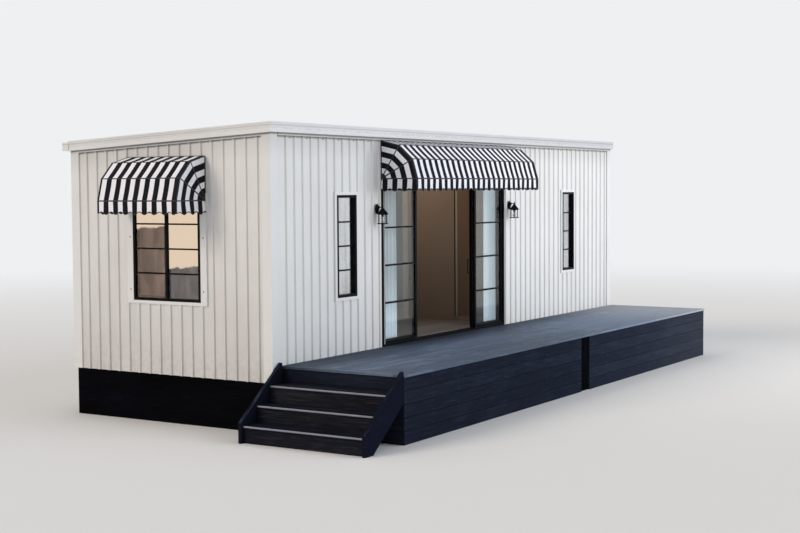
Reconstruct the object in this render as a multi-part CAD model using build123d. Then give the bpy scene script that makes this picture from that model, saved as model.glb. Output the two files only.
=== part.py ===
from build123d import *
import math
import os

# Portable cabin clad in ribbed steel, with a deck, steps and two striped awnings.
# Millimetres. X runs along the front to the right, Y towards the back, Z up from the ground.
# Every piece is placed from the near left corner of the cabin, at ground level.

# Driving sizes of the cabin
cabin_length = 9603.0
cabin_width = 3094.0
plinth_height = 580.0
floor_rise = 190.0            # finished floor above the lower edge of the cladding
fascia_underside = 2858.0     # above the lower edge of the cladding, at the front
roof_fall_angle = 2.85        # degrees, towards the back
wall_core = 78.0

# Ribbed cladding
rib_pitch = 165.0
rib_height = 18.0
rib_crest = 30.0
rib_flank = 14.0
sheet_back = 4.0
front_first_rib = 295.0
end_first_rib = 183.0
flashing_width = 130.0
flashing_gap = 12.0           # least pan between a flashing and a rib

# Plinth and floor
plinth_inset = 30.0
plinth_thickness = 45.0
floor_thickness = 25.0
bearer_width = 60.0
joist_width = 50.0
joist_spacing = 600.0

# Partition across the cabin, right of the sliding door, with a doorway near the back
partition_left = 5900.0
partition_thickness = 70.0
inner_door_width = 820.0
inner_door_height = 2040.0
inner_door_from_back = 280.0

# Roof
fascia_height = 120.0
fascia_lip = 40.0
fascia_lower_band = 33.0
fascia_upper_band = 38.0
fascia_cap = 44.0
fascia_lip_height = 18.0
fascia_cap_height = 16.0
wall_lap = 20.0               # walls rise this far behind the fascia
roof_panel_thickness = 70.0
roof_pitch = 200.0
roof_rib_height = 22.0
roof_rib_crest = 26.0
roof_rib_flank = 20.0
roof_sheet_back = 3.0
roof_sheet_lap = 30.0
gutter_width = 100.0
gutter_height = 105.0
gutter_back_height = 80.0
gutter_wall = 3.0
head_trim_height = 32.0
head_trim_thickness = 2.0

# Sliding door
door_left = 2330.0
door_width = 3350.0
door_height = 2090.0
door_jamb = 45.0
door_sill = 25.0
door_proud = 6.0
door_depth = 110.0
leaf_width = 835.0
leaf_thickness = 32.0
leaf_stile = 42.0
fixed_leaf_setback = 18.0
leaf_gap = 10.0
leaf_open_setback = 25.0      # edge of an open leaf to its jamb
leaf_head_clearance = 8.0
leaf_sill_clearance = 5.0
track_width = 6.0
track_height = 8.0
roller_radius = 15.0
roller_width = 10.0
roller_inset = 90.0
running_gap = 0.3
guide_lip = 25.0
guide_fin = 3.0
pane_thickness = 6.0
handle_length = 190.0
handle_reach = 45.0
handle_bar = 12.0
handle_level = 905.0          # middle of the pull above the floor

# Windows
window_sill = 885.0           # above the lower edge of the cladding
window_head = 2135.0
narrow_window_width = 430.0
left_window_middle = 1530.0
right_window_middle = 7905.0
end_window_width = 1045.0
end_window_middle = 1560.0
window_frame_face = 34.0
window_frame_depth = 70.0
window_proud = 6.0
narrow_pane_setback = 42.0
end_pane_setback = 18.0       # the wide window's panes lie near the front of their frame
end_mullion = 34.0
surround_proud = 4.0
narrow_surround = 38.0
end_surround = 92.0

# Awnings: each hood is three flat facets over bows, with end caps and a valance
front_awning_left = 2310.0
front_awning_width = 3410.0
front_awning_pivot = 2335.0   # above the lower edge of the cladding
front_awning_rise = 490.0
front_awning_reach = 540.0
end_awning_near = 945.0
end_awning_width = 1225.0
end_awning_pivot = 2085.0
end_awning_rise = 520.0
end_awning_reach = 510.0
awning_valance = 160.0
awning_cloth = 6.0
awning_tube = 18.0
awning_arm = 14.0
awning_arm_gap = 2.0
awning_bracket = 30.0
awning_stand_off = 5.0        # hoods hang this far in front of the ribs, clear of the surrounds
awning_facets = 3

# Lanterns
lantern_level = 1953.0        # middle of the wall plate above the lower edge of the cladding
left_lantern_middle = 2205.0
right_lantern_middle = 5850.0
lantern_plate_width = 84.0
lantern_plate_height = 128.0
lantern_plate_rim = 7.0
lantern_plate_edge = 8.0      # the block behind the plate, between two ribs, is smaller all round by this
lantern_bell_depth = 42.0     # the wall plate swells out to the arm
lantern_arm_rise = 23.0       # above the middle of the plate
lantern_reach = 86.0
lantern_arm = 12.0
lantern_hood_radius = 76.0
lantern_hood_height = 74.0
lantern_hood_rim = 4.0
lantern_stem_radius = 12.0
lantern_stem_height = 16.0
lantern_finial_radius = 8.0
lantern_finial_height = 26.0
lantern_finial_tip = 1.5
lantern_cage_radius = 62.0
lantern_cage_height = 126.0
lantern_bar = 6.0
lantern_bars = 6
lantern_rim = 8.0
lantern_base_radius = 70.0
lantern_base_height = 12.0
lantern_glass_gap = 2.0

# Deck and steps
deck_left = 130.0
deck_past_cabin = 37.0        # beyond the cabin's right end
deck_reach = 1677.0
deck_board = 28.0
deck_nosing = 15.0
skirt_thickness = 25.0
skirt_bay_end = 4764.0
skirt_bay_start = 5030.0
deck_post_setback = 25.0
deck_post_depth = 45.0
deck_joist_depth = 140.0
step_count = 4                # rises, the last one up to the deck
step_run = 250.0
tread_thickness = 32.0
riser_thickness = 20.0
stringer_thickness = 40.0
stringer_depth = 275.0        # square to its slope
stringer_above_nosing = 62.0
stringer_above_deck = 42.0    # level cut at the top
stringer_top_gap = 15.0       # plumb cut to the edge of the deck
stringer_foot = 35.0          # plumb cut ahead of the first nosing
stringer_house_gap = 10.0

# Curtains
curtain_line = 200.0          # middle of the curtain behind the front of the cabin
curtain_fullness = 60.0
left_curtain_width = 770.0
right_curtain_width = 430.0
curtain_end_gap = 40.0        # from the right curtain to the partition
curtain_above_floor = 20.0
rail_diameter = 25.0
rail_above_door = 60.0
rail_past_door = 150.0
rail_bracket = 20.0

# Values worked out from the driving sizes
skin = rib_height + sheet_back
wall_inner = skin + wall_core
floor_level = plinth_height + floor_rise
fascia_bottom = plinth_height + fascia_underside
fall = math.tan(math.radians(roof_fall_angle))
slope_direction = (0, math.cos(math.radians(roof_fall_angle)), -math.sin(math.radians(roof_fall_angle)))
door_right = door_left + door_width
door_head = floor_level + door_height
door_clear_left = door_left + door_jamb
door_clear_right = door_right - door_jamb
door_clear_top = door_head - door_jamb
door_clear_bottom = floor_level + door_sill
fixed_front = fixed_leaf_setback - door_proud
leaf_front = fixed_front + leaf_thickness + leaf_gap
leaf_bottom = door_clear_bottom + track_height + leaf_sill_clearance
leaf_top = door_clear_top - leaf_head_clearance
window_bottom = plinth_height + window_sill
window_top = plinth_height + window_head
deck_right = cabin_length + deck_past_cabin
skirt_top = floor_level - deck_board
rise = floor_level / step_count


def roof_level(y, above=0.0):
    """Height of the underside of the fascia at a distance y behind the front, plus above."""
    return fascia_bottom - fall * (y + fascia_cap) + above


def slab(x0, x1, y0, y1, z0, z1):
    """Box between two corners."""
    return Pos((x0 + x1) / 2, (y0 + y1) / 2, (z0 + z1) / 2) * Box(x1 - x0, y1 - y0, z1 - z0)


def prism(points, direction, length):
    """Closed outline of points in space, carried along a direction."""
    return extrude(make_face(Polyline(*points, close=True)), length, dir=direction)


def under_roof():
    """Everything below the underside of the roof panel."""
    outline = [(0, 0, 0), (0, cabin_width, 0),
               (0, cabin_width, roof_level(cabin_width, wall_lap)), (0, 0, roof_level(0, wall_lap))]
    return prism(outline, (1, 0, 0), cabin_length)


def ribs(start, stop, first, pitch, flank, crest, height, back):
    """Outline of a ribbed sheet from start to stop: distance along it and depth in front of its back."""
    outline = [(start, 0), (start, back)]
    count = int((stop - first) / pitch) + 1
    for number in range(count):
        left = first + number * pitch - flank / 2
        right = left + 2 * flank + crest
        if left < start + flashing_gap or right > stop - flashing_gap:
            continue
        outline += [(left, back), (left + flank, back + height)]
        outline += [(right - flank, back + height), (right, back)]
    return outline + [(stop, back), (stop, 0)]


def nearest_crest(x):
    """Middle of the front rib crest that lies nearest to x."""
    middle = front_first_rib + (rib_flank + rib_crest) / 2
    return middle + rib_pitch * round((x - middle) / rib_pitch)


def nearest_pan(x):
    """Middle of the flat between two front ribs that lies nearest to x."""
    return nearest_crest(x - rib_pitch / 2) + rib_pitch / 2


def wall_ribs(start, stop, first):
    """Outline of the wall cladding between two corner flashings."""
    return ribs(start, stop, first, rib_pitch, rib_flank, rib_crest, rib_height, sheet_back)


def window_box(middle, width, margin=0.0, along="x", depth=cabin_width):
    """Block through a wall at a window, wider by a margin all round."""
    low = middle - width / 2 - margin
    high = middle + width / 2 + margin
    bottom = window_bottom - min(margin, narrow_surround)
    top = window_top + min(margin, narrow_surround)
    if along == "x":
        return slab(low, high, -depth, wall_inner, bottom, top)
    return slab(-depth, wall_inner, low, high, bottom, top)


def build_plinth():
    """Painted boards that close the space under the cabin and carry it."""
    near = plinth_inset
    far_x = cabin_length - plinth_inset
    far_y = cabin_width - plinth_inset
    thick = plinth_thickness
    boards = [slab(near, far_x, near, near + thick, 0, plinth_height),
              slab(near, far_x, far_y - thick, far_y, 0, plinth_height),
              slab(near, near + thick, near + thick, far_y - thick, 0, plinth_height),
              slab(far_x - thick, far_x, near + thick, far_y - thick, 0, plinth_height)]
    return {"plinth": Compound(children=boards)}


def build_floor():
    """Two long bearers with joists between them, under the floor."""
    top = floor_level - floor_thickness
    near = skin
    far_y = cabin_width - skin
    far_x = cabin_length - skin
    pieces = [slab(near, far_x, near, near + bearer_width, plinth_height, top),
              slab(near, far_x, far_y - bearer_width, far_y, plinth_height, top)]
    spaces = round((far_x - near - joist_width) / joist_spacing)
    step = (far_x - near - joist_width) / spaces
    for number in range(spaces + 1):
        left = near + number * step
        pieces.append(slab(left, left + joist_width, near + bearer_width, far_y - bearer_width,
                           plinth_height, top))
    return {
        "floor_frame": Compound(children=pieces),
        "floor": slab(near, far_x, near, far_y, top, floor_level),
    }


def build_walls():
    """Wall cores with the windows and doorways cut through, and a partition, under the slope of the roof."""
    limit = under_roof()
    top = fascia_bottom + fascia_height
    far_y = cabin_width - skin
    far_x = cabin_length - skin
    left_window = window_box(left_window_middle, narrow_window_width)
    right_window = window_box(right_window_middle, narrow_window_width)
    end_window = window_box(end_window_middle, end_window_width, along="y")
    front_left = slab(skin, door_left, skin, wall_inner, floor_level, top)
    front_right = slab(door_right, far_x, skin, wall_inner, floor_level, top)
    lintel = slab(door_left, door_right, skin, wall_inner, door_head, top)
    back = slab(skin, far_x, cabin_width - wall_inner, far_y, floor_level, top)
    left = slab(skin, wall_inner, wall_inner, cabin_width - wall_inner, floor_level, top)
    right = slab(cabin_length - wall_inner, far_x, wall_inner, cabin_width - wall_inner, floor_level, top)
    partition_right = partition_left + partition_thickness
    partition = slab(partition_left, partition_right, wall_inner, cabin_width - wall_inner, floor_level, top)
    doorway_far = cabin_width - wall_inner - inner_door_from_back
    partition -= slab(partition_left, partition_right, doorway_far - inner_door_width, doorway_far,
                      floor_level, floor_level + inner_door_height)
    front = [(front_left - left_window) & limit, (front_right - right_window) & limit, lintel & limit]
    return {
        "front_wall": Compound(children=front),
        "back_wall": back & limit,
        "left_end_wall": (left - end_window) & limit,
        "right_end_wall": right & limit,
        "partition": partition & limit,
    }


def build_cladding():
    """Ribbed sheets between the corner flashings, trimmed under the roof and round the openings."""
    limit = under_roof()
    height = fascia_bottom + fascia_height - plinth_height
    up = (0, 0, 1)
    front_line = wall_ribs(flashing_width, cabin_length - flashing_width, front_first_rib)
    end_line = wall_ribs(flashing_width, cabin_width - flashing_width, end_first_rib)
    front = prism([(u, skin - d, plinth_height) for u, d in front_line], up, height)
    back = prism([(u, cabin_width - skin + d, plinth_height) for u, d in front_line], up, height)
    left = prism([(skin - d, u, plinth_height) for u, d in end_line], up, height)
    right = prism([(cabin_length - skin + d, u, plinth_height) for u, d in end_line], up, height)
    front -= window_box(left_window_middle, narrow_window_width, narrow_surround)
    front -= window_box(right_window_middle, narrow_window_width, narrow_surround)
    front -= slab(door_left, door_right, -skin, skin, floor_level, door_head)
    left -= window_box(end_window_middle, end_window_width, end_surround, along="y")
    return {
        "front_cladding": front & limit,
        "back_cladding": back & limit,
        "left_end_cladding": left & limit,
        "right_end_cladding": right & limit,
    }


def build_flashings():
    """Folded angles over the four corners and narrow trims under the fascia."""
    limit = under_roof()
    height = fascia_bottom + fascia_height - plinth_height
    corners = []
    for at_right in (False, True):
        for at_back in (False, True):
            points = [(0, 0), (flashing_width, 0), (flashing_width, skin), (skin, skin),
                      (skin, flashing_width), (0, flashing_width)]
            placed = [(cabin_length - x if at_right else x, cabin_width - y if at_back else y)
                      for x, y in points]
            corner = prism([(x, y, plinth_height) for x, y in placed], (0, 0, 1), height)
            corners.append(corner & limit)
    low = -head_trim_height
    thick = head_trim_thickness
    trims = [slab(0, cabin_length, -thick, 0, fascia_bottom + low, fascia_bottom)]
    for x in (-thick, cabin_length):
        outline = [(x, -thick, roof_level(-thick, low)), (x, cabin_width, roof_level(cabin_width, low)),
                   (x, cabin_width, roof_level(cabin_width)), (x, -thick, roof_level(-thick))]
        trims.append(prism(outline, (1, 0, 0), thick))
    return {"wall_flashings": Compound(children=corners + trims)}


def fascia_outline():
    """Stepped section of the fascia: distance outwards and height above its underside."""
    middle = (fascia_lip_height + fascia_height - fascia_cap_height) / 2
    top = fascia_height - fascia_cap_height
    return [(0, 0), (fascia_lip, 0), (fascia_lip, fascia_lip_height), (fascia_lower_band, fascia_lip_height),
            (fascia_lower_band, middle), (fascia_upper_band, middle), (fascia_upper_band, top),
            (fascia_cap, top), (fascia_cap, fascia_height), (0, fascia_height)]


def build_roof():
    """Sloping panel, ribbed sheet down the slope, stepped fascia on three sides and a gutter behind."""
    base = [(0, 0, roof_level(0, wall_lap)), (0, cabin_width, roof_level(cabin_width, wall_lap)),
            (0, cabin_width, roof_level(cabin_width, wall_lap + roof_panel_thickness)),
            (0, 0, roof_level(0, wall_lap + roof_panel_thickness))]
    panel = prism(base, (1, 0, 0), cabin_length)

    line = ribs(0, cabin_length, roof_pitch / 2, roof_pitch, roof_rib_flank, roof_rib_crest,
                roof_rib_height, roof_sheet_back)
    seat = roof_level(0, wall_lap + roof_panel_thickness)
    down_slope = (cabin_width + roof_sheet_lap) / slope_direction[1]
    sheet = prism([(u, 0, seat + d) for u, d in line], slope_direction, down_slope)

    reach = fascia_cap
    outline = fascia_outline()
    front = prism([(-reach, -u, fascia_bottom + v) for u, v in outline], (1, 0, 0), cabin_length + 2 * reach)
    past = 2 * reach
    side_length = (cabin_width + reach) / slope_direction[1]
    ends = []
    for side, edge in ((-1, 0), (1, cabin_length)):
        points = [(edge + side * u, -reach, fascia_bottom + v) for u, v in outline]
        mitre = [(edge, 0, 0), (edge + side * past, -past, 0), (edge - side * past, -past, 0)]
        away = [(edge, 0, 0), (edge + side * past, -past, 0), (edge + side * past, past, 0)]
        tall = fascia_bottom + 2 * fascia_height
        ends.append(prism(points, slope_direction, side_length) - prism(mitre, (0, 0, 1), tall))
        front -= prism(away, (0, 0, 1), tall)

    bottom = roof_level(cabin_width)
    near = cabin_width
    far = cabin_width + gutter_width
    section = [(near, bottom), (far, bottom), (far, bottom + gutter_height),
               (far - gutter_wall, bottom + gutter_height), (far - gutter_wall, bottom + gutter_wall),
               (near + gutter_wall, bottom + gutter_wall), (near + gutter_wall, bottom + gutter_back_height),
               (near, bottom + gutter_back_height)]
    left = -reach
    right = cabin_length + reach
    gutter = prism([(left, y, z) for y, z in section], (1, 0, 0), right - left)
    for x in (left, right - gutter_wall):
        gutter += slab(x, x + gutter_wall, near, far, bottom, bottom + gutter_height)
    return {
        "roof_panel": panel,
        "roof_sheet": sheet,
        "fascia": Compound(children=[front] + ends),
        "gutter": gutter,
    }


def leaf_ring(left, front, bottom, top):
    """Four rails of a glazed door leaf."""
    outer = slab(left, left + leaf_width, front, front + leaf_thickness, bottom, top)
    inner = slab(left + leaf_stile, left + leaf_width - leaf_stile, front, front + leaf_thickness,
                 bottom + leaf_stile, top - leaf_stile)
    return outer - inner


def leaf_pane(left, front, bottom, top):
    """Sheet of glass that fills the rails of a leaf."""
    middle = front + leaf_thickness / 2
    return slab(left + leaf_stile, left + leaf_width - leaf_stile, middle - pane_thickness / 2,
                middle + pane_thickness / 2, bottom + leaf_stile, top - leaf_stile)


def sliding_leaf(left):
    """Rails of a sliding leaf with two rollers that stand on the track."""
    rails = leaf_ring(left, leaf_front, leaf_bottom, leaf_top)
    middle = leaf_front + leaf_thickness / 2
    level = door_clear_bottom + track_height + running_gap + roller_radius
    for x in (left + roller_inset, left + leaf_width - roller_inset):
        rails += Pos(x, middle, level) * Rot(90, 0, 0) * Cylinder(roller_radius, roller_width)
    return rails


def pull_handle(stile_middle):
    """Bow handle on the room side of a sliding leaf."""
    back = leaf_front + leaf_thickness
    level = floor_level + handle_level
    half = handle_length / 2
    reach = handle_reach - handle_bar / 2
    path = FilletPolyline((stile_middle, back, level - half), (stile_middle, back + reach, level - half),
                          (stile_middle, back + reach, level + half), (stile_middle, back, level + half),
                          radius=handle_bar)
    start = Plane(origin=(stile_middle, back, level - half), z_dir=(0, 1, 0))
    return sweep(start * Circle(handle_bar / 2), path=path)


def build_door():
    """Frame with track and guides, two fixed leaves outside and two sliding leaves inside."""
    front = -door_proud
    back = front + door_depth
    frame = slab(door_left, door_right, front, back, floor_level, door_head)
    frame -= slab(door_clear_left, door_clear_right, front, back, door_clear_bottom, door_clear_top)
    middle = leaf_front + leaf_thickness / 2
    track_top = door_clear_bottom + track_height
    frame += slab(door_clear_left, door_clear_right, middle - track_width / 2, middle + track_width / 2,
                  door_clear_bottom, track_top)
    guide_bottom = door_clear_top - guide_lip
    fin_front = fixed_front + leaf_thickness + leaf_gap / 2 - guide_fin
    lip_front = leaf_front + leaf_thickness + leaf_gap / 2
    frame += slab(door_clear_left, door_clear_right, fin_front, fin_front + guide_fin, guide_bottom, door_clear_top)
    frame += slab(door_clear_left, door_clear_right, lip_front, back, guide_bottom, door_clear_top)

    fixed_lefts = (door_clear_left, door_clear_right - leaf_width)
    fixed = [leaf_ring(x, fixed_front, door_clear_bottom, door_clear_top) for x in fixed_lefts]
    fixed_glass = [leaf_pane(x, fixed_front, door_clear_bottom, door_clear_top) for x in fixed_lefts]
    left_x = door_clear_left + leaf_open_setback
    right_x = door_clear_right - leaf_open_setback - leaf_width
    return {
        "door_frame": frame,
        "fixed_leaf_frames": Compound(children=fixed),
        "fixed_leaf_glass": Compound(children=fixed_glass),
        "left_leaf_frame": sliding_leaf(left_x),
        "left_leaf_glass": leaf_pane(left_x, leaf_front, leaf_bottom, leaf_top),
        "left_leaf_handle": pull_handle(left_x + leaf_width - leaf_stile / 2),
        "right_leaf_frame": sliding_leaf(right_x),
        "right_leaf_glass": leaf_pane(right_x, leaf_front, leaf_bottom, leaf_top),
        "right_leaf_handle": pull_handle(right_x + leaf_stile / 2),
    }


def window_parts(middle, width, margin, setback, along):
    """Frame, glass and surround of one window, worked out for a wall that faces forwards."""
    low = middle - width / 2
    high = middle + width / 2
    face = window_frame_face
    front = -window_proud
    back = front + window_frame_depth
    frame = slab(low, high, front, back, window_bottom, window_top)
    frame -= slab(low + face, high - face, front, back, window_bottom + face, window_top - face)
    pane_front = front + setback
    glass = slab(low + face, high - face, pane_front, pane_front + pane_thickness,
                 window_bottom + face, window_top - face)
    sill_margin = min(margin, narrow_surround)
    surround = slab(low - margin, high + margin, -surround_proud, skin,
                    window_bottom - sill_margin, window_top + sill_margin)
    surround -= slab(low, high, -surround_proud, skin, window_bottom, window_top)
    if along == "y":
        # The end wall faces left, so the pieces are mirrored across the diagonal of the corner.
        turn = Plane(origin=(0, 0, 0), z_dir=(1, -1, 0))
        return [mirror(piece, turn) for piece in (frame, glass, surround)]
    return [frame, glass, surround]


def build_windows():
    """Two narrow windows in the front and a wide one with a mullion in the left end."""
    left = window_parts(left_window_middle, narrow_window_width, narrow_surround, narrow_pane_setback, "x")
    right = window_parts(right_window_middle, narrow_window_width, narrow_surround, narrow_pane_setback, "x")
    end = window_parts(end_window_middle, end_window_width, end_surround, end_pane_setback, "y")
    face = window_frame_face
    post = slab(-window_proud, window_frame_depth - window_proud, end_window_middle - end_mullion / 2,
                end_window_middle + end_mullion / 2, window_bottom + face, window_top - face)
    return {
        "narrow_window_frames": Compound(children=[left[0], right[0]]),
        "end_window_frame": end[0] + post,
        "window_glass": Compound(children=[left[1], right[1]] + (end[1] - post).solids()),
        "window_surrounds": Compound(children=[left[2], right[2], end[2]]),
    }


def bow_points(reach, height):
    """Corners of the hood from the wall down to the front bar, on a quarter of an ellipse."""
    turns = [90.0 - 90.0 * number / awning_facets for number in range(awning_facets + 1)]
    return [(reach * math.cos(math.radians(t)), height * math.sin(math.radians(t))) for t in turns]


def hood(width, reach, height):
    """Cloth of an awning, open below and at the wall. Width along X, hung on the plane of Y = 0."""
    cloth = awning_cloth

    def outline(x, inset):
        arch = bow_points(reach - inset, height - inset)
        points = arch + [(reach - inset, -awning_valance), (0, -awning_valance)]
        return [(x, -out, up) for out, up in points]

    outer = prism(outline(0, 0), (1, 0, 0), width)
    return outer - prism(outline(cloth, cloth), (1, 0, 0), width - 2 * cloth)


def rod(start, end, size):
    """Round tube between two points."""
    path = Line(start, end)
    return sweep(Plane(origin=start, z_dir=path % 0) * Circle(size / 2), path=path)


def bows(width, reach, height, seat, brackets):
    """Tubes inside a hood: a wall rail with brackets, bars along the corners and thinner arms side by side."""
    half_turn = math.radians(45.0 / awning_facets)
    inset = (awning_cloth + awning_tube / 2) / math.cos(half_turn) + running_gap
    ends = (awning_cloth, width - awning_cloth)
    half = awning_bracket / 2
    frame = rod((ends[0], -inset, 0), (ends[1], -inset, 0), awning_tube)
    for x in brackets:
        frame += slab(x - half, x + half, -inset, seat, -half, half)
    for number, (out, up) in enumerate(bow_points(reach - inset, height - inset)[1:]):
        frame += rod((ends[0], -out, up), (ends[1], -out, up), awning_tube)
        arm = inset + number * (awning_arm + awning_arm_gap)
        for x in (arm, width - arm):
            frame += rod((x, -inset, 0), (x, -out, up), awning_arm)
    return frame


def build_awnings():
    """A wide hood over the door and a smaller one over the end window."""
    off = awning_stand_off
    front = Pos(front_awning_left, -off, plinth_height + front_awning_pivot)
    end = Pos(-off, end_awning_near + end_awning_width, plinth_height + end_awning_pivot) * Rot(0, 0, -90)
    on_surround = off - surround_proud
    crests = [nearest_crest(front_awning_left + rib_pitch),
              nearest_crest(front_awning_left + front_awning_width - rib_pitch)]
    on_crests = [x - front_awning_left for x in crests]
    at_sides = [end_surround / 2, end_awning_width - end_surround / 2]
    return {
        "front_awning_frame": front * bows(front_awning_width, front_awning_reach, front_awning_rise, off,
                                           on_crests),
        "front_awning_cover": front * hood(front_awning_width, front_awning_reach, front_awning_rise),
        "end_awning_frame": end * bows(end_awning_width, end_awning_reach, end_awning_rise, on_surround,
                                       at_sides),
        "end_awning_cover": end * hood(end_awning_width, end_awning_reach, end_awning_rise),
    }


def lantern_plate():
    """Oval wall plate that swells out like a bell to the arm, with the block that seats it between two ribs."""
    width = lantern_plate_width
    height = lantern_plate_height
    rim = lantern_plate_rim
    edge = lantern_plate_edge

    def outwards(depth, rise=0):
        return Plane(origin=(0, -depth, rise), x_dir=(1, 0, 0), z_dir=(0, -1, 0))

    plate = extrude(outwards(0) * Ellipse(width / 2, height / 2), rim)
    waist = outwards(rim + (lantern_bell_depth - rim) / 3, 2 * lantern_arm_rise / 3)
    bell = loft([outwards(rim) * Ellipse(width / 2 - rim / 2, height / 2 - rim / 2),
                 waist * Ellipse(width / 4, height / 4),
                 outwards(lantern_bell_depth, lantern_arm_rise) * Circle(lantern_arm)])
    block = extrude(outwards(0) * Ellipse(width / 2 - edge, height / 2 - edge), -rib_height)
    return plate + bell + block


def lantern_head():
    """Cone hood with a finial, over a straight cage on a round base. Top of the hood at Z = 0."""
    stem = lantern_stem_radius
    tall = lantern_stem_height
    radius = lantern_hood_radius
    eaves = -lantern_hood_height
    waist = (0.47 * (radius + stem), 0.52 * eaves)
    outline = Polyline((radius, eaves), (radius, eaves - lantern_hood_rim), (0, eaves - lantern_hood_rim),
                       (0, tall), (stem, tall), (stem, 0))
    outline += ThreePointArc((stem, 0), waist, (radius, eaves))
    head = revolve(Plane.XZ * make_face(outline), Axis.Z)
    spike = lantern_finial_height
    head += Pos(0, 0, tall + spike / 2) * Cone(lantern_finial_radius, lantern_finial_tip, spike)
    top = eaves - lantern_hood_rim
    bottom = top - lantern_cage_height
    head += Pos(0, 0, top - lantern_rim / 2) * Cylinder(lantern_cage_radius, lantern_rim)
    head += Pos(0, 0, bottom + lantern_base_height / 2) * Cylinder(lantern_base_radius, lantern_base_height)
    place = lantern_cage_radius - lantern_bar
    for number in range(lantern_bars):
        turn = math.radians(360 * (number + 0.5) / lantern_bars)
        x = place * math.cos(turn)
        y = place * math.sin(turn)
        head += rod((x, y, top - lantern_rim / 2), (x, y, bottom + lantern_base_height / 2), lantern_bar)
    low = bottom + lantern_base_height
    high = top - lantern_rim
    glass_radius = place - lantern_bar / 2 - lantern_glass_gap
    glass = Pos(0, 0, (low + high) / 2) * Cylinder(glass_radius, high - low)
    return head, glass


def lantern(middle):
    """Wall lantern: plate, arm and the head that hangs from it, with its glass."""
    place = Pos(middle, 0, plinth_height + lantern_level)
    rise = lantern_arm_rise
    hang = Pos(0, -lantern_reach, rise - lantern_stem_height / 2)
    head, glass = lantern_head()
    arm = rod((0, -lantern_plate_rim, rise), (0, -lantern_reach, rise), lantern_arm)
    return place * (lantern_plate() + arm + hang * head), place * hang * glass


def build_lanterns():
    """A lantern on each side of the door."""
    left_body, left_glass = lantern(nearest_pan(left_lantern_middle))
    right_body, right_glass = lantern(nearest_pan(right_lantern_middle))
    return {
        "lantern_bodies": Compound(children=[left_body, right_body]),
        "lantern_glass": Compound(children=[left_glass, right_glass]),
    }


def build_deck():
    """Boards on joists, closed by skirts in two bays with a set back post between them."""
    front = -deck_reach
    skirt_front = front + deck_nosing
    skirt_back = skirt_front + skirt_thickness
    left = deck_left + deck_nosing
    right = deck_right - deck_nosing
    surface = slab(deck_left, deck_right, front, -door_proud, skirt_top, floor_level)
    skirts = [slab(left, skirt_bay_end, skirt_front, skirt_back, 0, skirt_top),
              slab(skirt_bay_start, right, skirt_front, skirt_back, 0, skirt_top),
              slab(left, left + skirt_thickness, skirt_back, 0, 0, skirt_top),
              slab(right - skirt_thickness, right, skirt_back, 0, 0, skirt_top)]
    post = slab(skirt_bay_end, skirt_bay_start, skirt_back, skirt_back + deck_post_depth, 0, skirt_top)
    bottom = skirt_top - deck_joist_depth
    joists = []
    near = skirt_back + deck_post_depth
    inner_left = left + skirt_thickness
    inner_right = right - skirt_thickness
    spaces = round((inner_right - inner_left - joist_width) / joist_spacing)
    step = (inner_right - inner_left - joist_width) / spaces
    ledger = slab(inner_left, inner_right, -joist_width, 0, bottom, skirt_top)
    rim_left = slab(inner_left, skirt_bay_end, skirt_back, near, bottom, skirt_top)
    rim_right = slab(skirt_bay_start, inner_right, skirt_back, near, bottom, skirt_top)
    for number in range(spaces + 1):
        x = inner_left + number * step
        joists.append(slab(x, x + joist_width, near, -joist_width, bottom, skirt_top))
    return {
        "deck_surface": surface,
        "deck_skirts": Compound(children=skirts + [post]),
        "deck_joists": Compound(children=[ledger, rim_left, rim_right] + joists),
    }


def nosing(number):
    """Front edge of a tread, counted from the ground; the deck's edge comes last."""
    return deck_left - (step_count - number) * step_run


def build_steps():
    """Treads and risers between two sloping stringers, at the left end of the deck."""
    right_face = -deck_reach
    inner_right = right_face + stringer_thickness
    inner_left = -stringer_house_gap - stringer_thickness
    treads = []
    risers = []
    for number in range(1, step_count):
        front = nosing(number)
        back = nosing(number + 1) + deck_nosing + (riser_thickness if number + 1 < step_count else 0)
        top = number * rise
        treads.append(slab(front, back, inner_right, inner_left, top - tread_thickness, top))
        riser_front = front + deck_nosing
        risers.append(slab(riser_front, riser_front + riser_thickness, inner_right, inner_left,
                           top - rise, top - tread_thickness))
    pitch_line = rise / step_run
    foot = nosing(1) - stringer_foot
    head = deck_left - stringer_top_gap

    def edge(x):
        return rise + (x - nosing(1)) * pitch_line + stringer_above_nosing

    def place_of(height):
        return nosing(1) + (height - stringer_above_nosing - rise) / pitch_line

    cap = min(edge(head), floor_level + stringer_above_deck)
    upright_depth = stringer_depth * math.hypot(rise, step_run) / step_run
    stringers = []
    for face in (right_face, inner_left):
        outline = [(foot, face, 0), (place_of(upright_depth), face, 0), (head, face, edge(head) - upright_depth),
                   (head, face, cap), (place_of(cap), face, cap), (foot, face, edge(foot))]
        stringers.append(prism(outline, (0, 1, 0), stringer_thickness))
    return {
        "step_treads": Compound(children=treads),
        "step_risers": Compound(children=risers),
        "step_stringers": Compound(children=stringers),
    }


def build_curtains():
    """Two gathered curtains on a rail above the door, inside."""
    level = door_head + rail_above_door
    left = door_left - rail_past_door
    right = partition_left - rail_bracket
    rail = rod((left, curtain_line, level), (right, curtain_line, level), rail_diameter)
    for x in (left + rail_past_door / 2, (left + right) / 2, right - rail_past_door / 2):
        rail += slab(x - rail_bracket / 2, x + rail_bracket / 2, wall_inner, curtain_line,
                     level - rail_bracket / 2, level + rail_bracket / 2)
    top = level - rail_diameter / 2 - running_gap
    bottom = floor_level + curtain_above_floor
    near = curtain_line - curtain_fullness / 2
    far = curtain_line + curtain_fullness / 2
    right_start = partition_left - curtain_end_gap - right_curtain_width
    curtains = [slab(door_left, door_left + left_curtain_width, near, far, bottom, top),
                slab(right_start, right_start + right_curtain_width, near, far, bottom, top)]
    return {"curtain_rail": rail, "curtains": Compound(children=curtains)}


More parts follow.
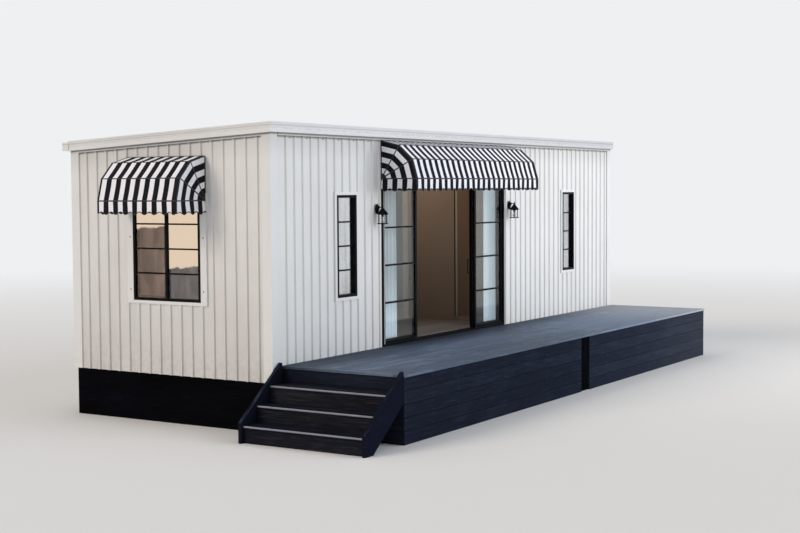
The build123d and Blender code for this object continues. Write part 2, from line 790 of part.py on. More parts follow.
def build_all():
    """All named pieces, placed from the near left corner of the cabin."""
    pieces = {}
    for builder in (build_plinth, build_floor, build_walls, build_cladding, build_flashings, build_roof,
                    build_door, build_windows, build_awnings, build_lanterns, build_deck, build_steps,
                    build_curtains):
        pieces.update(builder())
    return pieces


def centre_on_ground(pieces):
    """The move that brings the middle of the whole cabin to the origin, standing on the ground."""
    boxes = [piece.bounding_box() for piece in pieces.values()]
    middle_x = (min(b.min.X for b in boxes) + max(b.max.X for b in boxes)) / 2
    middle_y = (min(b.min.Y for b in boxes) + max(b.max.Y for b in boxes)) / 2
    print("origin lies at", round(middle_x, 3), round(middle_y, 3), "from the near left corner")
    return Pos(-middle_x, -middle_y, 0)


os.makedirs("parts", exist_ok=True)
all_pieces = build_all()
to_origin = centre_on_ground(all_pieces)
for name, piece in all_pieces.items():
    export_step(to_origin * piece, f"parts/{name}.step")
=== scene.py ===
"""Container house: cloth, boards, glazing bars, lanterns and finishes for the packed frame."""
import math

import bmesh
import bpy
import numpy as np
from bpy.props import FloatProperty, FloatVectorProperty, IntProperty, PointerProperty
from mathutils import Matrix, Vector


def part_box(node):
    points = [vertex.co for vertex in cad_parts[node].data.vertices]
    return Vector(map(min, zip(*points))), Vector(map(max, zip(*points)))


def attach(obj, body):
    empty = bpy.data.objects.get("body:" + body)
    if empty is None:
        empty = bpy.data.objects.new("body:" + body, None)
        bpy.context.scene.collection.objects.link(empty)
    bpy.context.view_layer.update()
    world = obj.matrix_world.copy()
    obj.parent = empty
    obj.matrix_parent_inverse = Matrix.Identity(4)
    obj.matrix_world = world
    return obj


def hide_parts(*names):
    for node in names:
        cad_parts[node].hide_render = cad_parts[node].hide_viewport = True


bl_info = {
    "name": "Container House",
    "version": (1, 0, 0),
    "blender": (4, 5, 0),
    "location": "3D View > Sidebar > Container House",
    "description": "Dresses the packed cabin with cloth, boards, glazing bars, lanterns and finishes",
    "category": "Object",
}

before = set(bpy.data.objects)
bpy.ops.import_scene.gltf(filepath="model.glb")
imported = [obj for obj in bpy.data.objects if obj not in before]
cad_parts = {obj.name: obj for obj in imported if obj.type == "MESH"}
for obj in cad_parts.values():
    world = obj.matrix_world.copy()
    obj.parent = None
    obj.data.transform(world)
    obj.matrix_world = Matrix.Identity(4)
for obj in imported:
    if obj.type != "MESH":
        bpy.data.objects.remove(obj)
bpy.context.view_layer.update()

# The cabin's near left corner at the ground, from the door frame that stands 2.33 m along the front.
CORNER = np.array(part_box("door_frame")[0]) * (1, 1, 0) - (2.330, -0.006, 0)
X_AXIS, Y_AXIS, Z_AXIS = np.eye(3)

# Sizes in metres. Heights are measured from the ground, and places along the front from that corner.
FLOOR = 0.770
CEILING = 3.36
EAVES = 3.438                   # the fascia's lower edge at its front
FASCIA_REACH = 0.044            # from the front wall out to the fascia's face
ROOF_FALL = math.tan(math.radians(2.85))    # for each metre towards the back
RIB_PITCH = 0.165
PAN = 0.018                     # depth of the sheets' flat pans behind their ribs
WASH_JOINT = 0.1375             # place of the joint between the corner flashing and the first sheet
SCREW_LEVELS = (0.64, 1.55, 2.45)
NARROW_WINDOWS = (1.530, 7.905)     # their middles
RISE, RUN = 0.1925, 0.25        # of the steps
FIRST_NOSING = -0.620           # front edge of the lowest tread
LINING_SHEET = 1.2              # width of a lining sheet
PLANK_LENGTH = 1.4
SHEET_SWELL = (1.6, 1.6, 0.7)   # how fine a sheet's unevenness is along X, Y and Z


def house_box(node):
    """Lowest and highest corner of a CAD node in metres, measured from the cabin's near left corner."""
    low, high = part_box(node)
    return np.array(low) - CORNER, np.array(high) - CORNER


def roof_edge(y):
    """Height of the fascia's underside at a distance y behind the front: a straight fall of 2.85 degrees."""
    return EAVES - ROOF_FALL * (y + FASCIA_REACH)


def paint(*values):
    """A colour from its 0 to 255 values on screen, as the linear numbers that Blender works in."""
    level = np.array(values) / 255
    return tuple(np.where(level <= 0.04045, level / 12.92, ((level + 0.055) / 1.055) ** 2.4).tolist())


def toned(tint, factor):
    """The same colour, darker or lighter."""
    return [min(1, part * factor) for part in tint]


def colour(name, description, *values):
    return FloatVectorProperty(name=name, description=description, default=paint(*values), subtype="COLOR",
                               min=0.0, max=1.0)


def length(name, description, metres):
    return FloatProperty(name=name, description=description, default=metres, unit="LENGTH", min=0.0)


def share(name, description, value):
    return FloatProperty(name=name, description=description, default=value, subtype="FACTOR", min=0.0,
                         max=1.0)


def angle(name, description, degrees):
    return FloatProperty(name=name, description=description, default=math.radians(degrees), unit="ROTATION")


def number(name, description, value):
    return FloatProperty(name=name, description=description, default=value, min=0.0)


def count(name, description, value):
    return IntProperty(name=name, description=description, default=value, min=1)


class SteelSettings(bpy.types.PropertyGroup):
    """Paint of the ribbed sheets, trims and roof."""
    cladding: colour("Cladding", "Paint of the ribbed wall sheets", 226, 226, 225)
    trim: colour("Trim", "Paint of the flashings and window surrounds", 226, 227, 227)
    fascia: colour("Fascia", "Paint of the fascia and the gutter", 224, 224, 224)
    # Painted shade: the colour of the shadow under the eaves, in the flashing joint and on the rib flanks.
    shade: colour("Shade", "Dirt under the eaves and in joints", 84, 77, 72)
    roof: colour("Roof", "Paint of the roof sheet", 214, 214, 210)
    grime: colour("Grime", "Dust and rain marks", 152, 134, 119)
    grime_amount: share("Grime amount", "How strongly dust and rain marks show", 0.20)
    screw_width: length("Screw width", "Across the washer of a wall screw", 0.016)


class InteriorSettings(bpy.types.PropertyGroup):
    """Linings, floor and curtains."""
    lining: colour("Lining", "Paint of the inner walls and ceiling", 168, 148, 131)
    plank: colour("Floor plank", "Middle tone of the floor planks", 142, 136, 132)
    trim: colour("Corner trim", "Paint of the inner corner trims", 205, 190, 172)
    panel: colour("Panel", "Brown panel on the partition", 144, 118, 96)
    curtain: colour("Curtain", "Colour of the curtain cloth", 220, 233, 240)
    plank_width: length("Plank width", "Width of a floor plank", 0.19)
    fold_pitch: length("Fold pitch", "From one curtain fold to the next", 0.094)
    fold_depth: length("Fold depth", "How far a curtain fold stands out", 0.021)


class TimberSettings(bpy.types.PropertyGroup):
    """Stained boards of the deck, steps and plinth."""
    deck: colour("Deck", "Stain of the deck boards", 34, 41, 53)
    skirt: colour("Skirt", "Stain of the skirts, steps and stringers", 23, 26, 38)
    riser: colour("Riser", "Stain of the boards between the treads", 28, 29, 37)
    plinth: colour("Plinth", "Paint of the boards under the cabin", 10, 10, 12)
    worn: colour("Worn", "Where the stain has weathered on the deck", 118, 133, 155)
    # Also a painted sheen: the right end of the deck paler and bluer, partly from bleaching.
    bleached: colour("Bleached", "Bare wood at the right end, where the sun took the stain", 186, 188, 192)
    # Also a painted highlight on the treads' front edges, along with their wear.
    nosing: colour("Nosing", "Rubbed front edges of the treads", 150, 153, 162)
    board_gap: length("Board gap", "Gap between two deck boards", 0.005)
    rows: count("Deck boards", "Boards between the border and the wall", 11)
    courses: count("Skirt boards", "Boards in the height of a skirt", 5)


class OpeningSettings(bpy.types.PropertyGroup):
    """Doors and windows."""
    metal: colour("Metal", "Powder coat of the frames and bars", 11, 12, 15)
    glass: colour("Glass tint", "What the glass lets through", 236, 243, 240)
    seal: colour("Seal", "Pale strip down the left jamb", 206, 208, 208)
    bar_width: length("Bar width", "Height of a glazing bar", 0.019)
    bar_depth: length("Bar depth", "How far a glazing bar stands off the glass", 0.010)
    mirror: share("Mirror", "Share of light that the door panes reflect straight on", 0.035)


class AwningSettings(bpy.types.PropertyGroup):
    """Striped cloth of the two awnings."""
    light: colour("Light stripe", "Pale stripes", 240, 240, 247)
    dark: colour("Dark stripe", "Dark stripes and bindings", 19, 21, 27)
    tube: colour("Tube", "Metal of the bows under the cloth", 122, 125, 128)
    stripe: length("Stripe", "Width of a stripe on the front awning", 0.0735)
    end_stripe: length("End stripe", "Width of a stripe on the end awning", 0.0745)
    drop: length("Drop", "Middle depth of the valance", 0.146)
    scallop: length("Scallop", "How far the scallops rise and fall", 0.016)
    sag: length("Sag", "How far the cloth sinks between two bars", 0.004)
    binding: length("Binding", "Width of the tape on the folds", 0.017)


class LanternSettings(bpy.types.PropertyGroup):
    """The two wall lanterns."""
    metal: colour("Metal", "Painted metal of the lanterns", 16, 17, 18)
    bulb: colour("Bulb", "Frosted bulb inside", 206, 203, 194)


class StudioSettings(bpy.types.PropertyGroup):
    """Camera, lamps, floor and background."""
    lens: number("Lens", "Focal length in millimetres on a 36 mm sensor", 62.96)
    stand: FloatVectorProperty(name="Stand", description="Camera's place", subtype="TRANSLATION",
                               unit="LENGTH", default=(-17.17314, -10.32290, 2.79030))
    heading: angle("Heading", "Camera's turn from +X towards +Y", 31.782)
    tilt: angle("Tilt", "Camera's turn above level", -3.191)
    roll: angle("Roll", "Camera's lean", -0.363)
    ambient: number("Ambient", "Strength of the even light from all round", 0.50)
    front_lamp: number("Front lamp", "Strength of the cool lamp", 1.20)
    end_lamp: number("End lamp", "Strength of the warm lamp", 1.30)
    side_panel: number("Side panel", "Watts of the panel at the right front", 110.0)
    room_panel: number("Room panel", "Watts of the panel in the living room", 9.0)
    background: colour("Background", "Backdrop as the camera sees it", 238, 240, 242)
    floor: colour("Floor", "Pale floor round the cabin", 232, 232, 232)


def operation(kind, flipped=False):
    """The method of an operator: it adds a Math node of this kind, with its two values swapped if flipped."""
    def method(self, other):
        values = (other, self) if flipped else (self, other)
        return self.finish.add("ShaderNodeMath", {"operation": kind}, dict(enumerate(values)))
    return method


class Wire:
    """A shader socket that Python's operators work on: each operator adds the Math node for it."""
    __add__ = __radd__ = operation("ADD")
    __sub__ = operation("SUBTRACT")
    __rsub__ = operation("SUBTRACT", True)
    __mul__ = __rmul__ = operation("MULTIPLY")
    __truediv__ = operation("DIVIDE")
    __rtruediv__ = operation("DIVIDE", True)
    __pow__ = operation("POWER")
    __rpow__ = operation("POWER", True)
    __lt__ = operation("LESS_THAN")
    __gt__ = operation("GREATER_THAN")

    def __init__(self, finish, socket):
        self.finish = finish
        self.socket = socket

    def math(self, kind, *values):
        return self.finish.add("ShaderNodeMath", {"operation": kind}, dict(enumerate((self, *values))))

    def __abs__(self):
        return self.math("ABSOLUTE")

    def part(self):
        """What is left after the whole number is taken away."""
        return self.math("FRACT")

    def edge(self):
        """0 halfway between two whole numbers and 1 at each of them."""
        return abs(self.part() - 0.5) * 2

    def ramp(self, low, high):
        """0 below low and 1 above high, with a soft rise between them."""
        return self.finish.add("ShaderNodeMapRange", {"interpolation_type": "SMOOTHSTEP"},
                               {"Value": self, "From Min": low, "From Max": high})

    def band(self, foot, low, high, end):
        """1 between low and high, and 0 below foot and above end."""
        return self.ramp(foot, low) - self.ramp(high, end)


class Nodes:
    """A node tree that is written as expressions."""

    def __init__(self, tree):
        self.tree = tree
        self.tree.nodes.clear()

    def add(self, kind, settings=None, inputs=None, output=0):
        """Adds one node: its settings first, then the values or links of its sockets."""
        node = self.tree.nodes.new(kind)
        for name, value in (settings or {}).items():
            setattr(node, name, value)
        for name, value in (inputs or {}).items():
            socket = node.inputs[name]
            if isinstance(value, Wire):
                self.tree.links.new(value.socket, socket)
            else:
                socket.default_value = (*value, 1.0) if socket.type == "RGBA" else value
        return Wire(self, node.outputs[output] if len(node.outputs) else None)

    def mix(self, factor, first, second):
        """first where factor is 0, second where it is 1."""
        return self.add("ShaderNodeMix", {"data_type": "RGBA"}, {0: factor, 6: first, 7: second}, 2)

    def place(self, scale=(1, 1, 1), turn=(0, 0, 0), source=None):
        """Object coordinates, or another source, turned and scaled."""
        spot = source or self.add("ShaderNodeTexCoord", output="Object")
        return self.add("ShaderNodeMapping", None, {"Vector": spot, "Rotation": turn, "Scale": scale})

    def noise(self, scale, detail=3.0, rough=0.5, stir=0.0, stretch=(1, 1, 1), spot=None):
        """Noise at a place, or on Object coordinates that are finer along the axes that stretch gives."""
        return self.add("ShaderNodeTexNoise", None, {
            "Vector": spot or self.place(stretch), "Scale": scale, "Detail": detail, "Roughness": rough,
            "Distortion": stir})

    def axes(self, spot):
        node = self.add("ShaderNodeSeparateXYZ", None, {0: spot}).socket.node
        return [Wire(self, output) for output in node.outputs]

    def house(self):
        """The place on the cabin in metres, measured from its near left corner at the ground."""
        x, y, height = self.axes(self.place())
        return x - float(CORNER[0]), y - float(CORNER[1]), height


class Finish(Nodes):
    """One finish: a Principled shader, and whatever varies over the surface."""

    def __init__(self, name, tint, rough, metal=0.0, **sockets):
        self.material = bpy.data.materials.new(name)
        self.material.use_nodes = True
        super().__init__(self.material.node_tree)
        values = {"Base Color": tint, "Roughness": rough, "Metallic": metal}
        values.update({key.replace("_", " "): value for key, value in sockets.items()})
        self.shader = self.add("ShaderNodeBsdfPrincipled", None, values)

    def feed(self, **sockets):
        """Links what varies to the shader's sockets."""
        for name, value in sockets.items():
            self.tree.links.new(value.socket, self.shader.socket.node.inputs[name.replace("_", " ")])
        return self

    def bump(self, height, distance, strength):
        """Height in units of distance metres, turned into the shader's normal."""
        values = {"Height": height, "Distance": distance, "Strength": strength}
        return self.feed(Normal=self.add("ShaderNodeBump", None, values))

    def done(self, surface=None):
        """Ends the tree with the shader, or with a surface mixed from it, and returns the material."""
        self.add("ShaderNodeOutputMaterial", None, {"Surface": surface or self.shader})
        return self.material


def fascia_paint(name, tint, shade):
    """Baked paint on a folded fascia: painted shade in the groove under its cap, a line of faint fixings lower
    down, and painted shade that darkens the face towards the right end."""
    finish = Finish(name, tint, 0.42)
    x, y, height = finish.house()
    above = height - roof_edge(y)
    fixings = finish.noise(20, 2).ramp(0.45, 0.6) * (0.14 + x.ramp(-0.03, 0.01) * 0.16)
    # Painted shade in the groove under the cap and towards the right end.
    mask = (above.band(0.068, 0.076, 0.086, 0.094) * 0.40 + above.band(0.038, 0.045, 0.050, 0.057) * fixings
            + x.ramp(2.0, 8.0) * 0.38 + finish.noise(2.2, 4, 0.6).ramp(0.4, 0.8) * 0.10)
    finish.feed(Base_Color=finish.mix(mask.math("MINIMUM", 1.0), tint, shade))
    return finish.bump(finish.noise(1.0, 1, stretch=SHEET_SWELL) * 8, 0.0006, 0.6).done()


def dust_and_shade_paint(name, tint, grime, amount, rough=0.42, foot=0.58, shade=None, dark=(0.02, 0.06), flank=0.0):
    """Baked paint with faint rain streaks, dust above the foot and slightly uneven sheet. With a shade colour
    it
    also paints shade: a painted shadow under the eaves, between the two depths of dark, painted shade in the
    joint beside the corner flashing, and, by the flank amount, painted shade on the sides of the ribs at the
    left end and a darkening towards its foot."""
    finish = Finish(name, tint, rough)
    x, y, height = finish.house()
    streaks = finish.noise(1.0, 4, 0.6, stretch=(9, 9, 0.35)).ramp(0.50, 0.75)
    cloud = finish.noise(1.3, 4, 0.6).ramp(0.35, 0.75)
    splash = (1 - height.ramp(foot, foot + 0.55)) * finish.noise(14, 4, 0.7).ramp(0.3, 0.8)
    mask = (streaks * 0.35 + cloud * 0.35 + splash * 0.9) * amount
    coat = finish.mix(mask, tint, grime)
    if shade is not None:
        # Painted shade: the shadow under the eaves, the shade in the flashing joint and on the rib flanks, and
        # the left end darker towards its foot.
        under = roof_edge(y) - height
        eaves = (1 - under.ramp(*dark)) * 0.55 + (1 - under.ramp(0.03, 0.34)) * 0.16
        joint = (1 - abs(x - WASH_JOINT).ramp(0.005, 0.010)) * 0.45
        ribs = x.band(0.001, 0.004, 0.012, 0.016)
        darker_towards_foot = 1 - height.ramp(0.6, 2.6)
        coat = finish.mix(eaves + joint + (ribs + darker_towards_foot) * flank, coat, shade)
    finish.feed(Base_Color=coat, Roughness=rough + mask * 0.5)
    swell = finish.noise(1.0, 1, stretch=SHEET_SWELL)
    return finish.bump(swell * 8 + finish.noise(900, 2) * 0.2, 0.0006, 0.6).done()


def board_lining(name, tint):
    """Painted lining sheets: fine joints, a satin face, uneven colour, and painted shade that deepens towards
    the floor.
    """
    finish = Finish(name, tint, 0.55)
    x, _, height = finish.axes(finish.place())
    joint = (x / LINING_SHEET).edge().ramp(0.994, 0.998)
    blotch = finish.noise(0.8, 3, 0.6).ramp(0.35, 0.7)
    face = finish.mix((blotch * 0.5 + joint * 0.6).math("MINIMUM", 1.0), tint, toned(tint, 0.86))
    # Painted shade: darker towards the floor.
    finish.feed(Base_Color=finish.mix((1 - height.ramp(0.7, 2.3)) * 0.5, face, toned(tint, 0.4)))
    return finish.bump(finish.noise(260, 3) * 0.3 - joint, 0.0012, 0.6).done()


def plank_floor(name, tint, width):
    """Floating floor: planks along the cabin, each row shifted, each plank its own tone, with fine grain."""
    finish = Finish(name, tint, 0.34)
    x, y, _ = finish.axes(finish.place())
    row = (y / width).math("FLOOR")
    along = x / PLANK_LENGTH + (row * 0.377).part()
    plank = finish.add("ShaderNodeCombineXYZ", None, {0: along.math("FLOOR"), 1: row})
    tone = finish.add("ShaderNodeTexWhiteNoise", {"noise_dimensions": "2D"}, {"Vector": plank})
    grain = finish.noise(1.0, 5, 0.65, 1.5, (2.2, 38, 1))
    seam = (y / width).edge().ramp(0.975, 0.99).math("MAXIMUM", along.edge().ramp(0.9965, 0.9985))
    wood = finish.mix(tone * 0.45 + grain.ramp(0.35, 0.7) * 0.55, toned(tint, 0.52), toned(tint, 1.32))
    finish.feed(Base_Color=finish.mix(seam * 0.8, wood, toned(tint, 0.2)), Roughness=0.28 + grain * 0.22)
    return finish.bump(grain * 0.2 - seam, 0.0008, 0.7).done()


def black_coat(name, tint, rough=0.36):
    """Powder coat: fine orange peel, faint dust and rubbed patches."""
    finish = Finish(name, tint, rough, Specular_IOR_Level=0.06)
    dust = finish.noise(5, 5, 0.65).ramp(0.45, 0.8)
    finish.feed(Base_Color=finish.mix(dust * 0.10, tint, (0.08, 0.08, 0.08)), Roughness=rough + dust * 0.16)
    return finish.bump(finish.noise(700, 2), 0.0002, 0.5).done()


def stained_timber(name, tint, worn, amount, rough, grain=None, turn=(0, 0, 0), sheen=0.0, fade_and_painted_light=0.0,
                   rubbed=0.0, bleached=None, bleach_and_sheen=0.0):
    """Stained sawn boards. The noise of the grain is drawn out along each board, by the boards' own grain and
    tone, or on a solid by how fine grain says it is along each axis, and worn patches follow it.
    fade_and_painted_light says how much paler the boards are away from the wall, before the door and towards
    the right end: partly faded stain and wear, partly painted light, with a painted sheen towards the right end
    and painted shade along the wall.
    rubbed says how bare the front edge of each tread is, partly wear and partly a painted highlight, and
    bleach_and_sheen how far the right end has turned to bleached, partly bleached wood and partly a painted
    sheen."""
    finish = Finish(name, tint, rough, Specular_IOR_Level=sheen)
    if grain:
        spot = finish.place(grain, turn)
        broad = finish.place([0.2 + 0.8 * part / max(grain) for part in grain], turn)
        tone = finish.noise(3.1, 1, spot=broad)
    else:
        own = finish.add("ShaderNodeAttribute", {"attribute_name": "grain"}, output="Vector")
        spot, broad = (finish.place(scale, source=own) for scale in ((1, 16, 16), (1, 4, 1)))
        tone = finish.add("ShaderNodeAttribute", {"attribute_name": "tone"}, output="Fac")
    fibre = finish.noise(3.0, 6, 0.7, 0.6, spot=spot)
    crack = finish.noise(11.0, 3, 0.6, 0.4, spot=spot).ramp(0.62, 0.72)
    patch = finish.noise(1.6, 4, 0.6, spot=broad).ramp(0.4, 0.75)
    mask = (fibre.ramp(0.42, 0.72) * 0.55 + patch * 0.35 + tone * 0.4 - 0.15).ramp(0.0, 1.0) * amount
    x, y, height = finish.house()
    # Painted light mixed with real fading: paler away from the wall, a painted sheen towards the right end,
    # painted shade along the wall, and a paler patch before the door that is partly wear and partly painted
    # light.
    if fade_and_painted_light:
        pale = (0.48 + x.ramp(3.4, 7.0) * 0.52) * fade_and_painted_light
        shelter_and_shade = 1 - y.ramp(-0.85, 0.05) * 0.82
        trodden_and_lit = x.band(1.7, 2.8, 3.8, 5.0) * y.band(-1.25, -0.75, -0.6, -0.1)
        mask = (mask * (1 + pale) + pale) * shelter_and_shade + trodden_and_lit * 0.36 * fade_and_painted_light
    # The treads' pale front edges: partly wear, partly a painted highlight.
    if rubbed:
        step = ((height + 0.050) / RISE).math("FLOOR")
        front = 1 - (x + 0.87 - step * RUN).ramp(0.014, 0.022)
        mask = mask + front * ((height - 0.003) / RISE).part().ramp(0.88, 0.93) * (0.5 + fibre) * rubbed
    body = finish.mix(crack * 0.7, finish.mix(mask, tint, worn), toned(tint, 0.45))
    # Towards the right end: partly bleached wood, partly a painted sheen.
    if bleach_and_sheen:
        body = finish.mix(x.ramp(6.4, 9.9) * (0.8 + fibre * 0.4) * bleach_and_sheen, body, bleached)
    finish.feed(Base_Color=body, Roughness=rough + fibre * 0.2 - 0.1)
    return finish.bump(fibre - crack * 0.8, 0.0016, 0.8).done()


def striped_cloth(name, light, dark):
    """Woven awning cloth. The first number of the UV map counts stripes, and every second one is dark."""
    finish = Finish(name, light, 0.85, Specular_IOR_Level=0.12)
    count = finish.axes(finish.add("ShaderNodeUVMap", {"uv_map": "cloth"}))[0]
    age = finish.noise(2.4, 5, 0.65).ramp(0.40, 0.8)
    pale = finish.mix(age * 0.14, light, paint(196, 190, 198))
    deep = finish.mix(age * 0.35, dark, paint(38, 39, 47))
    finish.feed(Base_Color=finish.mix((count * 0.5 + 0.01).part() < 0.52, pale, deep))
    crease = finish.noise(1.0, 3, 0.6, 0.4, (3.0, 3.0, 9.0))
    weave = finish.noise(1.0, 2, stretch=(900, 900, 900))
    return finish.bump(crease * 6 + weave * 0.4, 0.0010, 0.55).done()


def plain_cloth(name, tint, sheer=0.0, painted_glow=0.0, top=2.0):
    """Woven cloth of one colour with a fine weave and soft creases; below top it glows with a painted light
    that stands for daylight through it.
    """
    finish = Finish(name, tint, 0.85, Sheen_Weight=0.25, Emission_Strength=painted_glow)
    foot = 1 - finish.axes(finish.place())[2].ramp(0.9, top)
    weave = finish.noise(1.0, 2, stretch=(240, 240, 30)) + finish.noise(1.0, 2, stretch=(30, 30, 240))
    tone = finish.noise(2.5, 4, 0.6).ramp(0.35, 0.75) * 0.3 + (weave - 0.9) * 0.25
    # Painted light: an emission below top that stands for daylight through the cloth.
    finish.feed(Emission_Color=finish.mix(foot, (0, 0, 0), tint),
                Base_Color=finish.mix(tone, tint, toned(tint, 0.78)))
    finish.bump(weave, 0.0006, 0.5)
    glow = finish.add("ShaderNodeBsdfTranslucent", None, {"Color": tint})
    return finish.done(finish.add("ShaderNodeMixShader", None, {0: sheer, 1: finish.shader, 2: glow}))


def pane_glass(name, tint, mirror):
    """Clear pane: see-through, with a mirror face that grows towards grazing, and faint smears on it."""
    finish = Finish(name, tint, 0.02, 1.0)
    smears = finish.noise(1.5, 5, 0.6, stretch=(3, 3, 1.2)).ramp(0.55, 0.8)
    facing = finish.add("ShaderNodeLayerWeight", None, {"Blend": 0.5}, "Facing")
    return finish.feed(Roughness=0.015 + smears * 0.03, Alpha=mirror + 0.7 * facing ** 5 + smears * 0.02).done()


def painted_reflection_panes(name, tint):
    """Window glass with a mirror face: an even cool one in the narrow windows. In the end window it carries a
    painted reflection, warm and strong above a soft skyline, which stands higher in the left half, and weak and
    brown below it."""
    finish = Finish(name, tint, 0.02, 1.0)
    x, y, height = finish.house()
    end = x < 0.3
    left = y > 1.56
    # Painted reflection in the end window: a warm sky above the skyline and brown ground below it.
    slope = (1.543 + left * 0.5055 - y) * 0.10
    skyline = 1.80 + left * 0.47 + slope + finish.noise(1.0, 4, 0.7, stretch=(7, 7, 1)) * 0.10
    sky = (height - skyline).ramp(-0.012, 0.012)
    reflected_shapes = finish.noise(1.4, 4, 0.6, 0.4, (5, 5, 2.2)).ramp(0.35, 0.7)
    streaks = finish.noise(1.0, 3, 0.6, stretch=(11, 11, 0.5)).ramp(0.36, 0.64)
    warm = finish.mix(sky, finish.mix(left, (0.74, 0.72, 0.78), (0.95, 0.66, 0.52)), (0.92, 0.72, 0.53))
    ground_reflection_share = 0.03 + left * 0.03 + reflected_shapes * 0.07
    end_share = ground_reflection_share + sky * (0.95 - ground_reflection_share)
    narrow_share = 0.37 + streaks * 0.22
    return finish.feed(Base_Color=finish.mix(end, (0.93, 0.965, 1.0), warm), Roughness=0.02 + reflected_shapes * 0.03,
                       Alpha=narrow_share + end * (end_share - narrow_share)).done()


def quads(rows, columns, wrap=False):
    """Faces of a grid of points, row after row; wrap joins the end of each row to its start."""
    row = np.arange(rows - 1)[:, None] * columns
    column = np.arange(columns if wrap else columns - 1)
    ahead = (column + 1) % columns
    corners = [row + column, row + ahead, row + columns + ahead, row + columns + column]
    return np.stack(corners, -1).reshape(-1, 4)


class Form:
    """A surface: points, four-sided faces and, for the finish, flat or grain coordinates and a tone."""

    def __init__(self, points, faces, flat=None, grain=None, tone=None):
        self.points = np.reshape(points, (-1, 3))
        self.faces = np.reshape(faces, (-1, 4))
        count = len(self.points)
        self.flat = np.zeros((count, 2)) if flat is None else np.reshape(flat, (-1, 2))
        self.grain = np.zeros((count, 3)) if grain is None else np.reshape(grain, (-1, 3))
        self.tone = np.zeros(count) if tone is None else np.ravel(tone)

    def area(self):
        """Sum of the faces' areas, each half the cross product of its two diagonals."""
        corner = self.points[self.faces]
        across = np.cross(corner[:, 2] - corner[:, 0], corner[:, 3] - corner[:, 1])
        return float(np.linalg.norm(across, axis=1).sum() / 2)


def joined(*forms):
    """Several surfaces as one."""
    starts = np.cumsum([0] + [len(form.points) for form in forms[:-1]])
    faces = np.concatenate([form.faces + start for form, start in zip(forms, starts)])
    points, flat, grain, tone = (np.concatenate([getattr(form, part) for form in forms])
                                 for part in ("points", "flat", "grain", "tone"))
    return Form(points, faces, flat, grain, tone)


def bars(starts, ends, across, width, depth, cut=0.0015, seed=1):
    """Straight bars, all at once. A point is start + ahead * s + across * x + up * y, where (x, y) goes round
    a rectangle with clipped corners and s takes four steps: both ends, drawn in by the cut, and the cut
    inside them. Grain is (s, x, y), moved by a random amount for each bar, and tone is random for each."""
    starts = np.array(starts)
    run = ends - starts
    count = len(starts)
    size = np.linalg.norm(run, axis=1)
    ahead = run / size[:, None]
    up = np.cross(ahead, across)
    corner = np.array([(1, -1), (1, -1), (1, 1), (1, 1), (-1, 1), (-1, 1), (-1, -1), (-1, -1)])
    clipped = np.array([(1, 0), (0, 1), (0, 1), (1, 0), (1, 0), (0, 1), (0, 1), (1, 0)])
    half = np.stack([np.broadcast_to(width, count), np.broadcast_to(depth, count)], 1)[:, None] / 2
    outline = corner * (half - clipped * cut)
    ring = outline[:, None] - corner * cut * np.array([1, 0, 0, 1])[:, None, None]
    step = np.stack([0 * size, 0 * size + cut, size - cut, size], 1)[:, :, None, None]
    points = (starts[:, None, None] + ahead[:, None, None] * step + across * ring[..., :1]
              + up[:, None, None] * ring[..., 1:])
    cap = np.array([(0, 1, 2, 3), (0, 3, 4, 7), (4, 5, 6, 7)])
    faces = np.concatenate([quads(4, 8, True), cap, cap + 24])
    chance = np.random.default_rng(seed)
    move = chance.uniform(0, 40, (count, 1, 1, 3))
    grain = np.concatenate([np.broadcast_to(step, ring.shape[:3] + (1,)), ring], -1) + move
    tone = np.broadcast_to(chance.uniform(0, 1, (count, 1)), (count, 32))
    return Form(points, faces + np.arange(count)[:, None, None] * 32, grain=grain, tone=tone)


def grid(x, y, z):
    """Every place that has one of the x, one of the y and one of the z."""
    return np.stack(np.meshgrid(x, y, z), -1).reshape(-1, 3)


def rails(x, y, z, *shape):
    """Straight bars over a grid of places. The tuple among x, y and z holds both ends of their run."""
    begin, end = ([part[side] if isinstance(part, tuple) else part for part in (x, y, z)] for side in (0, 1))
    return bars(grid(*begin), grid(*end), *shape)


def planks(runs, *shape):
    """Straight bars along X. Each runs from its first number to its second, at the y and z that follow."""
    runs = np.array(runs)
    return bars(runs[:, [0, 2, 3]], runs[:, 1:], *shape)


def carry(path, outline, across):
    """A closed outline carried along a path. A point is path + side * x + up * y, where side is across made
    square to the path, and up is square to both; each end closes on its middle."""
    path = np.asarray(path, float)
    ahead = np.gradient(path, axis=0)
    ahead /= np.linalg.norm(ahead, axis=1)[:, None]
    side = across - ahead * (across * ahead).sum(1)[:, None]
    side /= np.linalg.norm(side, axis=1)[:, None]
    up = np.cross(ahead, side)
    ring = path[:, None] + side[:, None] * outline[:, :1] + up[:, None] * outline[:, 1:]
    middle = ring.mean(1, keepdims=True)
    shut = [np.repeat(middle[:1], len(outline), 1), ring, np.repeat(middle[-1:], len(outline), 1)]
    return Form(np.concatenate(shut), quads(len(path) + 2, len(outline), True))


def around(turns):
    """Even angles once round: 2 pi n / turns."""
    return np.arange(turns) * 2 * np.pi / turns


def oval(width, depth, turns=10):
    """Outline of an oval: (width / 2 cos t, depth / 2 sin t) for t once round."""
    turn = around(turns)
    return np.stack([width / 2 * np.cos(turn), depth / 2 * np.sin(turn)], 1)


def lathe(outline, middle, axis=Z_AXIS, turns=28):
    """A profile turned about an axis: middle + axis * height + radius * (a cos t + b sin t)."""
    outline = np.array(outline)[:, None]
    a = np.cross(axis, (0.31, 0.87, 0.38))
    a /= np.linalg.norm(a)
    turn = around(turns)[:, None]
    spoke = np.cos(turn) * a + np.sin(turn) * np.cross(axis, a)
    return Form(middle + outline[..., 1:] * axis + outline[..., :1] * spoke, quads(len(outline), turns, True))


